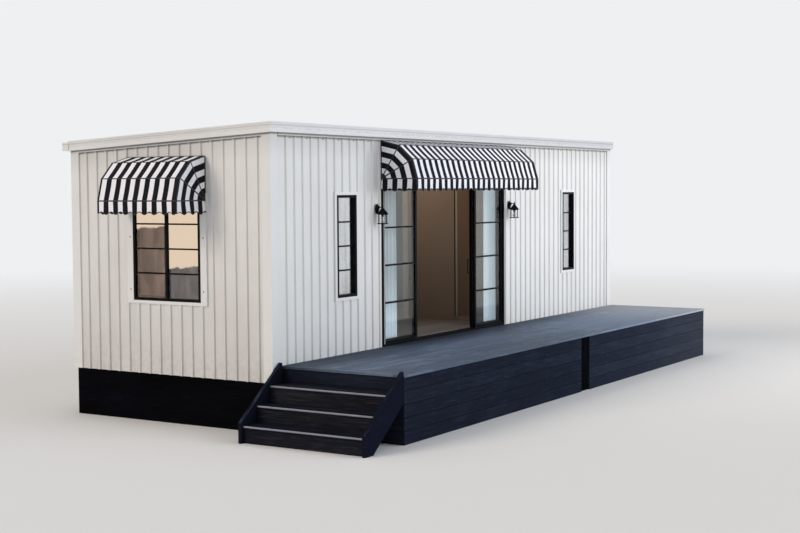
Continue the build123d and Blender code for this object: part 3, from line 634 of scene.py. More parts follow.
def repeated(form, places):
    """The same small form at many places: its points are added to each place."""
    shift = np.arange(len(places))[:, None, None] * len(form.points)
    return Form(np.array(places)[:, None] + form.points, form.faces + shift)


def screw(axis, width, height):
    """Washer and low domed head of a screw that stands out along axis, as a turned profile."""
    half = width / 2
    outline = [(half, -0.0005), (half, 0.0012), (half * 0.62, 0.0016), (half * 0.5, height), (0, height)]
    return lathe(outline, (0, 0, 0), axis, 8)


def screws(name, material, slot, width, *groups, height=0.004):
    """One piece of all the screws of a kind. Each group is the axis they stand out along and their places."""
    heads = [repeated(screw(axis, width, height), places) for axis, places in groups]
    put(name, joined(*heads), material)


def added(name, data):
    """A new object in the scene."""
    thing = bpy.data.objects.new(name, data)
    bpy.context.scene.collection.objects.link(thing)
    return thing


def put(name, form, material, replaces=(), body="cabin", crease=35.0, thickness=0.0):
    """Makes one piece from a form: doubles merged, faces outwards, sharp edges kept, carried by a body."""
    mesh = bpy.data.meshes.new(name)
    mesh.from_pydata((form.points + CORNER).tolist(), [], form.faces.tolist())
    corner = np.empty(len(mesh.loops), np.int32)
    mesh.loops.foreach_get("vertex_index", corner)
    mesh.uv_layers.new(name="cloth").data.foreach_set("uv", form.flat[corner].ravel())
    mesh.attributes.new("grain", "FLOAT_VECTOR", "POINT").data.foreach_set("vector", form.grain.ravel())
    mesh.attributes.new("tone", "FLOAT", "POINT").data.foreach_set("value", form.tone.ravel())
    shell = bmesh.new()
    shell.from_mesh(mesh)
    bmesh.ops.remove_doubles(shell, verts=shell.verts, dist=0.00002)
    bmesh.ops.recalc_face_normals(shell, faces=shell.faces)
    shell.to_mesh(mesh)
    shell.free()
    mesh.shade_smooth()
    mesh.set_sharp_from_angle(angle=math.radians(crease))
    mesh.materials.append(material)
    piece = added(name, mesh)
    if thickness:
        wall = piece.modifiers.new("Thickness", "SOLIDIFY")
        wall.thickness = thickness
        wall.offset = 0.0
    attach(piece, body)
    if replaces:
        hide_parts(*replaces)
    return piece


def dress(material, *nodes):
    """Gives CAD nodes a finish."""
    for node in nodes:
        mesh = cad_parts[node].data
        mesh.materials.clear()
        mesh.materials.append(material)


def smooth(value):
    """0 to 1 with level ends: 3 v v - 2 v v v."""
    value = np.clip(value, 0, 1)
    return value * value * (3 - 2 * value)


def lamp(name, kind, strength, tint, toward, place=(0, 0, 0), **shape):
    """A soft lamp at a place, which shines from the direction toward. Mirrors show the distant kind only."""
    light = bpy.data.lights.new(name, kind)
    light.energy = strength
    light.color = tint
    for setting, value in shape.items():
        setattr(light, setting, value)
    holder = added(name, light)
    holder.location = place
    holder.rotation_euler = Vector(toward).to_track_quat("Z", "Y").to_euler()
    holder.visible_glossy = kind == "SUN"


class Stage(bpy.types.Operator):
    """Floor, background, lamps and the camera at the photograph's place"""
    bl_idname = "house.stage"
    bl_label = "Stage"

    def execute(self, context):
        scene = context.scene
        studio = scene.house_studio
        scene.view_settings.view_transform = "Standard"
        scene.world = bpy.data.worlds.new("studio")
        scene.world.use_nodes = True
        sky = Nodes(scene.world.node_tree)
        seen = self.seen(sky)
        tint = sky.mix(seen, (1.0, 1.0, 1.0), studio.background)
        strength = studio.ambient + seen * (1 - studio.ambient)
        glow = sky.add("ShaderNodeBackground", None, {"Color": tint, "Strength": strength})
        sky.add("ShaderNodeOutputWorld", None, {"Surface": glow})

        lamp("front_lamp", "SUN", studio.front_lamp, (0.76, 0.87, 1.0), (0.36, -0.86, 0.36),
             angle=math.radians(50))
        lamp("side_panel", "AREA", studio.side_panel, (1.0, 0.97, 0.95), (4.4, -12.2, 1.3), (7.0, -13.0, 3.4),
             size=4.0, spread=math.radians(70))
        lamp("room_panel", "AREA", studio.room_panel, (1.0, 0.84, 0.70), (-0.5, 0.0, 2.0), (0.4, 0.9, 3.2),
             size=1.6)
        lamp("end_lamp", "SUN", studio.end_lamp, (1.0, 0.85, 0.72), (-0.74, 0.38, 0.50), angle=math.radians(26))
        self.floor(studio)
        self.camera(scene, studio)
        return {"FINISHED"}

    def seen(self, nodes):
        """1 for rays that show the background: straight, in a reflection and through glass."""
        path = nodes.add("ShaderNodeLightPath").socket.node
        straight, glossy, through = (Wire(nodes, path.outputs[name]) for name in
                                     ("Is Camera Ray", "Is Glossy Ray", "Is Transmission Ray"))
        return (straight + glossy + through).math("MINIMUM", 1.0)

    def floor(self, studio):
        """A wide floor that passes into the background's colour far out."""
        ground = Finish("studio_floor", studio.floor, 0.9)
        x, y, _ = ground.axes(ground.place())
        far = ((x * x + y * y) ** 0.5).ramp(9, 34)
        pale = ground.add("ShaderNodeEmission", None, {"Color": studio.background})
        mixed = {0: far * self.seen(ground), 1: ground.shader, 2: pale}
        reach = 600
        mesh = bpy.data.meshes.new("studio_floor")
        mesh.from_pydata([(-reach, -reach, 0), (reach, -reach, 0), (reach, reach, 0), (-reach, reach, 0)], [],
                         [(0, 1, 2, 3)])
        mesh.materials.append(ground.done(ground.add("ShaderNodeMixShader", None, mixed)))
        added("studio_floor", mesh)

    def camera(self, scene, studio):
        """Looks ahead by heading and tilt, with its right side leaning by roll."""
        camera = bpy.data.cameras.new("view")
        camera.lens = studio.lens
        camera.sensor_width = 36
        camera.clip_end = 900
        heading, tilt, roll = studio.heading, studio.tilt, studio.roll
        ahead = Vector((math.cos(tilt) * math.cos(heading), math.cos(tilt) * math.sin(heading), math.sin(tilt)))
        level = Vector((math.sin(heading), -math.cos(heading), 0))
        right = level * math.cos(roll) + level.cross(ahead) * math.sin(roll)
        turned = Matrix((right, right.cross(ahead), -ahead)).transposed().to_4x4()
        scene.camera = added("view", camera)
        scene.camera.matrix_world = Matrix.Translation(studio.stand) @ turned


class Steelwork(bpy.types.Operator):
    """Paint of the ribbed sheets, trims, fascia, gutter and roof, with their screws"""
    bl_idname = "house.steelwork"
    bl_label = "Steelwork"

    def execute(self, context):
        steel = context.scene.house_steel
        amount = steel.grime_amount
        # Depths below the fascia of the painted shadow on the sheets and on the flashings.
        rib_eave_shadow, trim_eave_shadow = (0.038, 0.062), (0.014, 0.024)
        walls = dust_and_shade_paint("cladding_paint", steel.cladding, steel.grime, amount, shade=steel.shade,
                             dark=rib_eave_shadow)
        end = dust_and_shade_paint("end_cladding_paint", steel.cladding, steel.grime, amount * 1.5, shade=steel.shade,
                           dark=rib_eave_shadow, flank=0.15)
        trims = dust_and_shade_paint("trim_paint", steel.trim, steel.grime, amount * 0.7, 0.36)
        flashings = dust_and_shade_paint("flashing_paint", steel.trim, steel.grime, amount * 0.7, 0.36,
                                 shade=steel.shade, dark=trim_eave_shadow)
        dress(walls, "front_cladding", "back_cladding", "right_end_cladding")
        dress(end, "left_end_cladding")
        dress(trims, "window_surrounds")
        dress(flashings, "wall_flashings")
        # paint(146, 150, 156) is the colour of the fascia's painted shade.
        dress(fascia_paint("fascia_paint", steel.fascia, paint(146, 150, 156)), "fascia", "gutter")
        dress(dust_and_shade_paint("roof_paint", steel.roof, steel.grime, amount * 1.5, 0.45, -1), "roof_sheet")

        last_rib = house_box("front_cladding")[1][0] - 0.1
        wall_length, wall_depth, _ = house_box("back_cladding")[1] + (0.130, 0, 0)
        along = np.arange(0.317 + RIB_PITCH / 2, last_rib, 2 * RIB_PITCH)
        across = np.arange(0.205 + RIB_PITCH / 2, wall_depth - 0.1, 2 * RIB_PITCH)
        under_roof = 0.06
        screws("wall_screws", trims, "trim", steel.screw_width,
               (-Y_AXIS, [(x, PAN, z) for x in along for z in SCREW_LEVELS if self.clear(x, z)]),
               (Y_AXIS, grid(along, wall_depth - PAN, (*SCREW_LEVELS, roof_edge(wall_depth) - under_roof))),
               (-X_AXIS, [(PAN, y, z) for y in across for z in (0.64, 1.05, 3.0, roof_edge(y) - under_roof)]),
               (X_AXIS, [(wall_length - PAN, y, z) for y in across
                         for z in (*SCREW_LEVELS, roof_edge(y) - under_roof)]))
        tops = grid(np.arange(0.123, wall_length, 0.2), np.linspace(0.12, wall_depth - 0.08, 5), 0.115)
        tops[:, 2] += roof_edge(tops[:, 1])
        screws("roof_screws", trims, "roofing", steel.screw_width, (Z_AXIS, tops))
        # The dark heads of the top row stand in the painted shadow under the eaves.
        screws("surround_screws", black_coat("screw_shade", paint(92, 88, 84), 0.5), "trim", 0.018,
               (-X_AXIS, grid(-0.004, (0.992, 2.128), (1.594, 2.227))), (-Y_AXIS, grid(along, PAN, 3.382)))
        return {"FINISHED"}

    def clear(self, x, z):
        """True where a front screw misses the door, the windows and the lanterns."""
        door = 2.10 < x < 5.90 and z > 0.7
        window = min(abs(x - middle) for middle in NARROW_WINDOWS) < 0.28 and 1.4 < z < 2.8
        return not door and not window


class Interior(bpy.types.Operator):
    """Linings, floor, skirting boards, the partition's trim and the curtains"""
    bl_idname = "house.interior"
    bl_label = "Interior"

    def execute(self, context):
        inside = context.scene.house_interior
        lining = board_lining("lining_paint", inside.lining)
        dress(lining, "front_wall", "back_wall", "left_end_wall", "right_end_wall", "partition", "roof_panel")
        dress(plank_floor("floor_planks", inside.plank, inside.plank_width), "floor")
        dress(black_coat("chassis_paint", paint(58, 60, 62), 0.5), "floor_frame")
        self.skirting(lining)
        wall = house_box("partition")[0][0]
        pale = board_lining("corner_trim_paint", inside.trim)
        shade = black_coat("joint_shade", paint(40, 33, 27), 0.7)
        brown = board_lining("panel_paint", inside.panel)
        # The dark strip beside the trim is painted shade in a shadow gap.
        for name, out, y, foot, width, depth, cut, material in (
                ("partition_trim", 0.006, 0.928, FLOOR, 0.028, 0.012, 0.0015, pale),
                ("partition_gap_shade", 0.002, 0.956, FLOOR, 0.022, 0.003, 0.0010, shade),
                ("partition_panel", 0.003, 0.513, 0.850, 0.800, 0.005, 0.0015, brown)):
            put(name, rails(wall - out, y, (foot, CEILING), Y_AXIS, width, depth, cut), material)
        self.curtains(inside)
        return {"FINISHED"}

    def skirting(self, material):
        """Boards 70 mm high round the living room, where the walls meet the floor."""
        left, right = house_box("left_end_wall")[1][0], house_box("partition")[0][0]
        near, far = house_box("front_wall")[1][1], house_box("back_wall")[0][1]
        tall, thick = 0.070, 0.012
        half, z = thick / 2, FLOOR + tall / 2
        starts = [(left, far - half, z), (left + half, near, z), (right - half, near + 0.14, z),
                  (left, near + half, z)]
        ends = [(right, far - half, z), (left + half, far - thick, z), (right - half, 1.88, z),
                (2.33, near + half, z)]
        put("skirting_boards", bars(starts, ends, Z_AXIS, tall, thick), material)

    def curtains(self, inside):
        """Each curtain is a wave along the rail, y = depth * sin(fold) with folds that drift with height, and
        hangs straight down; its flat width is the length of that wave."""
        low, high = house_box("curtains")
        # The fifth number of each row is how strongly the curtain glows with painted light below the sixth.
        for name, start, end, shift, painted_glow, top in (("left_curtain", 2.335, 2.985, 0.4, 0.30, 1.7),
                                                       ("right_curtain", 5.435, 5.855, 2.1, 0.33, 8.0)):
            columns = int((end - start) / inside.fold_pitch * 14)
            x, s = np.meshgrid(np.linspace(start, end, columns), np.linspace(0, 1, 24))
            drift = shift + 0.7 * np.sin(x * 9.1) + 0.5 * s * np.sin(x * 5.3)
            fold = (x - start) * 2 * np.pi / inside.fold_pitch + drift
            depth = inside.fold_depth * (0.75 + 0.25 * s) * (1 + 0.2 * np.sin(x * 17.0))
            y = (low[1] + high[1]) / 2 + depth * (np.sin(fold) + 0.18 * np.sin(2 * fold + 0.6))
            points = np.stack([x, y, high[2] - s * (high[2] - low[2] - 0.004)], -1)
            cloth = plain_cloth(f"{name}_cloth", inside.curtain, 0.25, painted_glow, top)
            piece = put(name, Form(points, quads(*x.shape)), cloth, ["curtains"], crease=80,
                        thickness=0.001)


class Deck(bpy.types.Operator):
    """Deck boards and border, skirt boards, treads, stringer caps, plinth and their screws"""
    bl_idname = "house.deck"
    bl_label = "Deck and steps"
    joist_pitch = 0.58625

    def execute(self, context):
        timber = context.scene.house_timber
        deck = stained_timber("deck_stain", timber.deck, timber.worn, 0.46, 0.55, sheen=0.04, fade_and_painted_light=0.84,
                              bleached=timber.bleached, bleach_and_sheen=0.60)
        skirt = stained_timber("skirt_stain", timber.skirt, timber.worn, 0.06, 0.50, fade_and_painted_light=0.050,
                               bleached=timber.bleached, bleach_and_sheen=0.035)
        steel = black_coat("deck_screw_steel", paint(70, 72, 76), 0.35)
        self.surface(timber, deck, steel)
        self.skirts(timber, skirt, steel)
        self.steps(timber)
        slope = (0, math.atan2(RISE, RUN), 0)
        dress(stained_timber("riser_stain", timber.riser, timber.nosing, 0.10, 0.5, (16, 1, 16)),
              "step_risers", "deck_joists")
        dress(stained_timber("stringer_stain", timber.skirt, timber.deck, 0.16, 0.5, (1, 16, 16), slope),
              "step_stringers")
        dress(stained_timber("plinth_paint", timber.plinth, timber.skirt, 0.4, 0.6, (1, 1, 16)), "plinth")
        return {"FINISHED"}

    def surface(self, timber, stain, steel):
        """Boards along the cabin in staggered lengths, inside a border at the front and both ends."""
        low, high = house_box("deck_surface")
        gap, border = timber.board_gap, 0.140
        thick = high[2] - low[2]
        level = (high[2] + low[2]) / 2
        left, right, near = low[0] + border + gap, high[0] - border - gap, low[1] + border + gap
        pitch = (high[1] - near + gap) / timber.rows
        rows = near + pitch * np.arange(timber.rows) + (pitch - gap) / 2
        breaks = ((3.71, 6.64), (2.54, 5.47, 8.40), (4.88, 7.23))
        runs = []
        for row, y in enumerate(rows):
            cuts = [left - gap / 2, *breaks[row % 3], right + gap / 2]
            runs += [(a + gap / 2, b - gap / 2, y, level) for a, b in zip(cuts, cuts[1:])]
        field = planks(runs, Y_AXIS, pitch - gap, thick, 0.003, 3)
        edge = rails((low[0], high[0]), low[1] + border / 2, level, Y_AXIS, border, thick, 0.003, 4)
        sides = [low[0] + border / 2, high[0] - border / 2]
        caps = rails(sides, (near, high[1]), level, X_AXIS, border, thick, 0.003, 5)
        put("deck_boards", joined(field, edge, caps), stain, ["deck_surface"])
        joists = 0.195 + self.joist_pitch * np.arange(17)
        lines = np.concatenate([rows - 0.042, rows + 0.042, [low[1] + 0.035, low[1] + 0.105]])
        screws("deck_screws", steel, "black_timber", 0.009, (Z_AXIS, grid(joists, lines, high[2] - 0.0012)),
               height=0.0018)

    def skirts(self, timber, stain, steel):
        """Level boards in two bays along the front, round both ends, and upright ones on the post between."""
        low, high = house_box("deck_skirts")
        tall = high[2] / timber.courses
        levels = tall * (np.arange(timber.courses) + 0.5)
        half = 0.0125
        front = low[1] + half
        post = 4.764
        bays = ((low[0], post), (post + 0.266, high[0]))
        board = (Z_AXIS, tall - 0.003, 2 * half, 0.003)
        boards = planks([(*bay, front, z) for bay in bays for z in levels], *board, 6)
        returns = rails([low[0] + half, high[0] - half], (front + half, 0.0), levels, *board, 7)
        put("skirt_boards", joined(boards, returns), stain, ["deck_skirts"])
        upright = rails([post + 0.0665, post + 0.1995], low[1] + 0.0475, (0.0, high[2]), X_AXIS, 0.130, 0.045,
                        0.003, 8)
        # Painted shade: the post's boards take the plinth's near-black because the post stands back in shade.
        dark = stained_timber("shaded_post_stain", timber.plinth, timber.skirt, 0.5, 0.55)
        put("post_boards", upright, dark)
        lines = np.concatenate([np.arange(low[0] + 0.03, 4.75, self.joist_pitch),
                                np.arange(5.06, high[0], self.joist_pitch), [4.735, 9.595]])
        places = grid(lines, low[1] + 0.0004, np.concatenate([levels - 0.045, levels + 0.045]))
        screws("skirt_screws", steel, "black_timber", 0.009, (-Y_AXIS, places), height=0.0018)

    def steps(self, timber):
        """Two boards to a tread, and a capping along the slope of each stringer."""
        near, far, thick = -1.637, -0.050, 0.032
        step = np.arange(3)
        front = FIRST_NOSING + step * RUN
        back = np.array([-0.335, -0.085, 0.145])
        width = (back - front - timber.board_gap) / 2
        middles = np.stack([front + width / 2, back - width / 2], 1).ravel()
        starts = np.stack([middles, 0 * middles + near, np.repeat((step + 1) * RISE - thick / 2, 2)], 1)
        boards = bars(starts, starts + (far - near) * Y_AXIS, X_AXIS, np.repeat(width, 2), thick, 0.004, 9)
        tread = stained_timber("tread_stain", timber.skirt, timber.nosing, 0.08, 0.45, rubbed=0.9)
        put("tread_boards", boards, tread, ["step_treads"])
        lowest, highest = house_box("step_stringers")
        faces = (-1.657, -0.030)
        above = RISE + 0.062
        foot = above + (lowest[0] - FIRST_NOSING) * RISE / RUN
        crown = FIRST_NOSING + (highest[2] - above) * RUN / RISE
        raised = np.array([-RISE, 0, RUN]) / math.hypot(RUN, RISE) * 0.002
        caps = bars(grid(lowest[0], faces, foot) + raised, grid(crown, faces, highest[2]) + raised, Y_AXIS,
                    0.041, 0.004, 0.001, 11)
        # The caps' pale wear is partly a painted highlight, where the stringers' sloping tops catch the light.
        worn = stained_timber("highlit_cap_stain", timber.skirt, timber.worn, 0.60, 0.45)
        put("stringer_caps", caps, worn)


class Openings(bpy.types.Operator):
    """Door and window frames, glazing bars, glass, seals and handle roses"""
    bl_idname = "house.openings"
    bl_label = "Doors and windows"
    quarters = np.array([0.25, 0.5, 0.75])

    def execute(self, context):
        look = context.scene.house_openings
        metal = black_coat("frame_coat", look.metal)
        dress(metal, "door_frame", "fixed_leaf_frames", "left_leaf_frame", "right_leaf_frame",
              "left_leaf_handle", "right_leaf_handle", "narrow_window_frames", "end_window_frame",
              "curtain_rail")
        dress(pane_glass("door_glass", look.glass, look.mirror), "fixed_leaf_glass", "left_leaf_glass",
              "right_leaf_glass")
        dress(painted_reflection_panes("painted_reflection_panes", look.glass), "window_glass")

        low, high = house_box("fixed_leaf_glass")
        levels = low[2] + (high[2] - low[2]) * self.quarters
        run = 0.751
        for body, node, lefts in (("cabin", "fixed_leaf_glass", (low[0], high[0] - run)),
                                  ("left_leaf", "left_leaf_glass", None),
                                  ("right_leaf", "right_leaf_glass", None)):
            near, far = house_box(node)
            spans = [(x, x + run) for x in lefts or (near[0],)]
            form = self.crossbars(look, spans, levels, (near[1], far[1]))
            put(f"{node}_bars", form, metal, body=body)

        bottom, top = 1.499, 2.681
        levels = bottom + (top - bottom) * self.quarters
        spans = [(x - 0.181, x + 0.181) for x in NARROW_WINDOWS]
        put("narrow_window_bars", self.crossbars(look, spans, levels, (0.036, 0.042)), metal)
        spans = [(1.0715, 1.543), (1.577, 2.0485)]
        form = self.crossbars(look, spans, levels, (0.012, 0.018))
        form.points = form.points[:, [1, 0, 2]]
        put("end_window_bars", joined(form, self.sash(spans[1], bottom, top)), metal)

        seal = rails(2.369, -0.0072, (0.800, 2.850), X_AXIS, 0.012, 0.0022, 0.0006)
        put("jamb_seal", seal, black_coat("seal_paint", look.seal, 0.4))
        rose = lathe([(0.012, 0), (0.012, 0.003), (0.0085, 0.006), (0.0062, 0.0065)], (0, 0, 0), Y_AXIS, 20)
        for body, x in (("left_leaf", 3.214), ("right_leaf", 4.796)):
            ends = grid(x, 0.0862, (1.580, 1.770))
            put(f"{body}_handle_roses", repeated(rose, ends), metal, body=body)
        return {"FINISHED"}

    def crossbars(self, look, spans, levels, pane):
        """Level bars on both faces of the panes, just clear of the glass."""
        clear = 0.0003 + look.bar_depth / 2
        runs = [(*span, y, z) for span in spans for z in levels for y in (pane[0] - clear, pane[1] + clear)]
        return planks(runs, Z_AXIS, look.bar_width, look.bar_depth, 0.002)

    def sash(self, span, bottom, top):
        """Stiles and rails of the end window's sliding half, behind its pane."""
        x, stile, rail, depth = 0.0275, 0.036, 0.026, 0.015
        middles = [span[0] + stile / 2, span[1] - stile / 2]
        levels = [bottom + rail / 2, top - rail / 2]
        return joined(rails(x, middles, (bottom, top), Y_AXIS, stile, depth),
                      rails(x, (span[0] + stile, span[1] - stile), levels, Z_AXIS, rail, depth))


class Hood:
    """One awning. Places are worked out along the wall, out from it and up from the pivot, then set on it."""

    def __init__(self, width, reach, rise, origin, along, outward, look, corner_tape):
        self.width, self.reach, self.rise = width - 0.006, reach - 0.003, rise - 0.003
        self.origin = origin + along * 0.003
        self.along, self.outward, self.look = along, outward, look
        self.corner_tape = corner_tape
        turn = np.radians([90, 60, 30, 0])
        self.folds = np.stack([self.reach * np.cos(turn), self.rise * np.sin(turn)], 1)

    def place(self, a, out, up):
        """A point is origin + along * a + outward * out + up."""
        a, out, up = (part[..., None] for part in np.broadcast_arrays(a, out, up))
        return self.origin + a * self.along + out * self.outward + up * Z_AXIS

    def panel(self, a, out, up, stripe, down):
        """One panel of cloth, whose flat coordinates are the count of stripes and the way down."""
        flat = np.stack(np.broadcast_arrays(stripe, down), -1)
        return Form(self.place(a, out, up), quads(*flat.shape[:2]), flat)

    def arch(self, steps=6):
        """Out and up along the three flats, from the wall to the front bar, and 4 s (1 - s) along each flat."""
        s = np.linspace(0, 3, 3 * steps + 1)
        flat = np.minimum(s.astype(int), 2)
        share = (s - flat)[:, None]
        return self.folds[flat] * (1 - share) + self.folds[flat + 1] * share, 4 * (s - flat) * (1 - s + flat)

    def drop(self, stripe, distance):
        """Depth of the valance: its middle plus a cosine, lowest in the dark stripes and level at a corner."""
        calm = smooth(distance / 0.05)
        return self.look.drop + self.look.scallop * np.cos(np.pi * (stripe - 0.5)) * calm

    def flutter(self, a, share, distance):
        """How far the hanging cloth swings out: three sines along a, times share to the power 1.5 of its depth,
        still at the bar and at the corners."""
        swing = 0.005 * np.sin(a * 9.7 + 0.8) + 0.0035 * np.sin(a * 23.1) + 0.003 * np.sin(a * 42.7 + 1.9)
        return swing * share ** 1.5 * smooth(distance / 0.12)

    def cloth(self, stripe_at, cap_stripe, valance_stripe):
        """The skin: the arch, dipping 4 s (1 - s) between bars, two caps of scaled arches, the valance."""
        arch, dip = self.arch()
        a = np.linspace(0, self.width, int(self.width / 0.0182))
        edge = np.minimum(a, self.width - a)
        sink = self.look.sag * dip[:, None] * smooth(edge / 0.25) * (1 + 0.25 * np.sin(a * 7.3))
        scale = 1 - sink / np.linalg.norm(arch, axis=1)[:, None]
        stripe = stripe_at(a)
        down = np.linspace(0, 1, len(arch))[:, None]
        share = np.linspace(0, 1, 8)[:, None]
        fall = self.drop(stripe, edge) * share
        forms = [self.panel(a, arch[:, :1] * scale, arch[:, 1:] * scale, stripe, down),
                 self.panel(a, self.reach + self.flutter(a, share, edge), -fall, stripe, 1 + fall)]
        q = np.linspace(0, 1, 29)[:, None]
        away = self.reach * (1 - q[:, 0])
        stripe = valance_stripe(away)
        fall = self.drop(stripe, away) * share
        for side, sign in ((0.0, 1), (self.width, -1)):
            dish = sign * 0.0025 * np.sin(np.pi * q) * dip
            forms.append(self.panel(side + dish, q * arch[:, 0], q * arch[:, 1], cap_stripe(q), dip))
            flare = (0.013 * share ** 1.3 + self.flutter(away + side, share, away)) * smooth(away / 0.10)
            forms.append(self.panel(side - sign * flare, self.reach - away, -fall, stripe, 1 + fall))
        self.hem = [form.points.reshape(len(share), -1, 3)[-1] for form in forms[1::2]]
        return joined(*forms)

    def binding(self):
        """Tapes on the folds, round both ends, down the corners, on the wall, the caps' spokes and the hem."""
        tape, drop, leg = self.look.binding, self.look.drop, self.corner_tape
        a = np.linspace(0, self.width, 60)
        forms = [carry(self.place(a, out, up), oval(0.004, tape), self.outward) for out, up in self.folds[1:]]
        forms.append(carry(self.place(a, 0.002, self.rise - 0.004), oval(0.004, 0.020), self.outward))
        corner = np.array([(-0.0012, 0.0015), (leg, 0.0015), (leg, 0.0001), (0.0004, 0.0001), (0.0004, -leg),
                           (-0.0012, -leg)])
        rim = np.concatenate([self.arch(2)[0], [(self.reach, -0.05), (self.reach, -0.10), (self.reach, -drop)]])
        spoke = np.linspace(0.0, 0.99, 12)
        down = np.linspace(0.0, 0.006 - drop, 8)
        for side, outline in ((0.0, corner), (self.width, corner[::-1] * (-1, 1))):
            forms.append(carry(self.place(side, *rim.T), outline, self.along))
            for (out, up), wide in zip(self.folds, (0.020, tape, tape, tape)):
                path = self.place(side, spoke * out, spoke * up)
                forms.append(carry(path, oval(0.0045, wide, 8), self.along))
            forms.append(carry(self.place(side, 0.008, down), oval(0.0045, 0.018, 8), self.along))
        for line in self.hem:
            across = np.cross(np.gradient(line, axis=0), Z_AXIS)
            forms.append(carry(line + Z_AXIS * 0.004, oval(0.0045, 0.011, 8), across))
        return joined(*forms)


class Awnings(bpy.types.Operator):
    """Striped hoods over the door and the end window, with their bindings and scalloped valances"""
    bl_idname = "house.awnings"
    bl_label = "Awnings"

    def execute(self, context):
        look = context.scene.house_awnings
        cloth = striped_cloth("awning_cloth", look.light, look.dark)
        tape = plain_cloth("awning_binding", look.dark)
        dress(black_coat("awning_tube_coat", look.tube, 0.32), "front_awning_frame", "end_awning_frame")
        stripe, narrow = look.stripe, look.end_stripe
        front = Hood(3.410, 0.540, 0.490, (2.310, -0.005, 2.915), X_AXIS, -Y_AXIS, look, 0.018)
        self.make("front_awning", front, cloth, tape, lambda a: (a - 0.016) / stripe + 1,
                  lambda q: 6.999 * q, lambda away: away / (stripe * 1.001))
        end = Hood(1.225, 0.510, 0.520, (-0.005, 2.170, 2.665), -Y_AXIS, -X_AXIS, look, 0.007)
        self.make("end_awning", end, cloth, tape, lambda a: (1.2192 - a) / narrow,
                  lambda q: np.maximum(6.999 * q + 1, 2.02), lambda away: away / narrow + 1)
        return {"FINISHED"}

    def make(self, name, hood, cloth, tape, stripe_at, cap_stripe, valance_stripe):
        """Cloth and binding of one hood. Its flat length down the arch and the valance, and the cloth's area,
        are worked out but not used.
        """
        form = hood.cloth(stripe_at, cap_stripe, valance_stripe)
        piece = put(f"{name}_cloth", form, cloth, [f"{name}_cover"], crease=14,
                    thickness=0.0016)
        edges = put(f"{name}_binding", hood.binding(), tape, crease=50)
        slant = np.linalg.norm(np.diff(hood.arch()[0], axis=0), axis=1).sum()
        slant + hood.look.drop
        form.area()


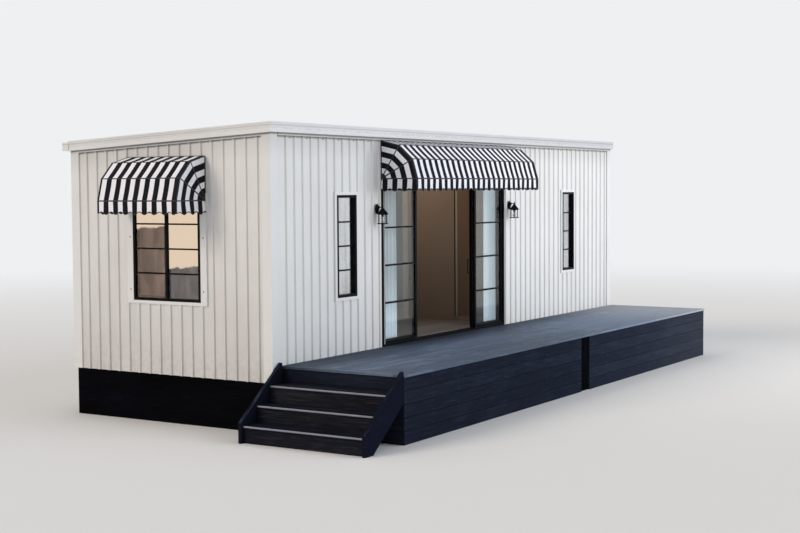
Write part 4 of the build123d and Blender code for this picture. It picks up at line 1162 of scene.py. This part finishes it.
class Lanterns(bpy.types.Operator):
    """Two wall lanterns: bell plate, arm, hood with finial, barred cage, glass and bulb"""
    bl_idname = "house.lanterns"
    bl_label = "Lanterns"
    rise = 0.023                                # of the arm above the plate's middle
    hang = np.array([0.0, -0.086, 0.015])       # the lamp's axis, from the plate's middle
    eaves, foot = -0.078, -0.204                # of the lamp, below hang

    def execute(self, context):
        look = context.scene.house_lanterns
        places = grid((2.2145, 5.8445), 0.0, 2.533)
        metal = black_coat("lantern_paint", look.metal, 0.33)
        put("lantern_metalwork", repeated(self.metalwork(), places), metal, ["lantern_bodies"],
            crease=40)
        outer, inner, high, low = 0.0505, 0.0487, self.eaves - 0.0083, self.foot + 0.0123
        tube = lathe([(outer, high), (outer, low), (inner, low), (inner, high), (outer, high)], self.hang)
        put("lantern_panes", repeated(tube, places), pane_glass("lantern_glass", (1.0, 1.0, 1.0), 0.06),
            ["lantern_glass"])
        # The bulb's faint emission is a painted glow; the lantern is not lit.
        frost_and_glow = Finish("lamp_bulb", look.bulb, 0.25, Emission_Color=look.bulb, Emission_Strength=0.08)
        frost_and_glow.feed(Base_Color=frost_and_glow.mix(frost_and_glow.noise(90, 3) * 0.3, look.bulb, toned(look.bulb, 0.8)))
        bulb = lathe([(0, -0.186), (0.012, -0.183), (0.0205, -0.174), (0.0235, -0.162), (0.021, -0.150),
                      (0.015, -0.138), (0.0115, -0.128), (0.011, -0.118), (0, -0.118)], self.hang, turns=20)
        put("lantern_bulbs", repeated(bulb, places), frost_and_glow.done())
        return {"FINISHED"}

    def metalwork(self):
        """Oval plate and bell, each ring out from the wall by depth and up by a share of the arm's rise, then
        the turned hood, rings, base and lamp holder, a round arm, and six round cage bars."""
        turn = around(36)
        rings = np.array([(0.0, 0.0, 0.0, 0.0), (0.042, 0.064, 0.0, 0.0), (0.042, 0.064, 0.005, 0.0),
                          (0.040, 0.062, 0.007, 0.0), (0.035, 0.055, 0.0085, 0.05), (0.029, 0.046, 0.012, 0.20),
                          (0.0225, 0.035, 0.018, 0.45), (0.0175, 0.024, 0.026, 0.72),
                          (0.0135, 0.016, 0.035, 0.93), (0.012, 0.012, 0.042, 1.0), (0.0, 0.0, 0.042, 1.0)])
        wide, tall, depth, share = rings.T[:, :, None]
        bell = np.broadcast_arrays(wide * np.cos(turn), -depth, tall * np.sin(turn) + share * self.rise)
        plate = Form(np.stack(bell, -1), quads(len(rings), len(turn), True))
        reach = (-0.038, -0.050, -0.065, -0.075, -0.084)
        arm = carry(grid(0, reach, self.rise), oval(0.012, 0.012, 14), X_AXIS)
        hood = lathe([(0, 0.0425), (0.0015, 0.042), (0.0035, 0.034), (0.0060, 0.026), (0.0085, 0.019),
                      (0.0088, 0.0165), (0.012, 0.016), (0.012, 0.001), (0.0145, -0.004), (0.0245, -0.017),
                      (0.0350, -0.031), (0.0460, -0.0455), (0.0580, -0.0595), (0.0680, -0.0695),
                      (0.076, -0.0745), (0.076, self.eaves), (0.072, self.eaves), (0.058, -0.0685),
                      (0, -0.062)], self.hang)
        ring = lathe([(0.062, self.eaves + 0.004), (0.062, self.eaves - 0.008), (0.0515, self.eaves - 0.008),
                      (0.0515, self.eaves + 0.004), (0.062, self.eaves + 0.004)], self.hang)
        top = self.foot + 0.012
        base = lathe([(0, top), (0.060, top), (0.066, top - 0.0015), (0.070, top - 0.005),
                      (0.070, self.foot + 0.002), (0.066, self.foot), (0, self.foot)], self.hang)
        holder = lathe([(0, -0.070), (0.030, -0.070), (0.026, -0.084), (0.0165, -0.100), (0.0125, -0.108),
                        (0.0125, -0.119), (0, -0.119)], self.hang, turns=20)
        turn = around(6)[:, None] + np.pi / 6
        feet = self.hang + 0.056 * (np.cos(turn) * X_AXIS + np.sin(turn) * Y_AXIS) + top * Z_AXIS
        climb = (self.eaves - 0.007 - top) * np.array([[0], [0.33], [0.67], [1]]) * Z_AXIS
        cage = [carry(foot + climb, oval(0.009, 0.009, 8), X_AXIS) for foot in feet]
        return joined(plate, arm, hood, ring, base, holder, *cage)


OPERATORS = (Stage, Steelwork, Interior, Deck, Openings, Awnings, Lanterns)
SETTINGS = {"house_steel": SteelSettings, "house_interior": InteriorSettings,
            "house_timber": TimberSettings, "house_openings": OpeningSettings,
            "house_awnings": AwningSettings, "house_lanterns": LanternSettings,
            "house_studio": StudioSettings}


class HousePanel(bpy.types.Panel):
    """Lists the settings and the operators that make the pieces"""
    bl_idname = "HOUSE_PT_pieces"
    bl_label = "Container House"
    bl_space_type = "VIEW_3D"
    bl_region_type = "UI"
    bl_category = "Container House"

    def draw(self, context):
        for operator in OPERATORS:
            self.layout.operator(operator.bl_idname)
        for name, group in SETTINGS.items():
            box = self.layout.box()
            box.label(text=group.__doc__)
            for prop in group.__annotations__:
                box.prop(getattr(context.scene, name), prop)


def register():
    for group in (*SETTINGS.values(), *OPERATORS, HousePanel):
        bpy.utils.register_class(group)
    for name, group in SETTINGS.items():
        setattr(bpy.types.Scene, name, PointerProperty(type=group))


def unregister():
    for name in SETTINGS:
        delattr(bpy.types.Scene, name)
    for group in (HousePanel, *OPERATORS[::-1], *SETTINGS.values()):
        bpy.utils.unregister_class(group)


def main():
    register()
    for operator in OPERATORS:
        getattr(bpy.ops.house, operator.bl_idname.split(".")[1])()


if __name__ == "__main__":
    main()
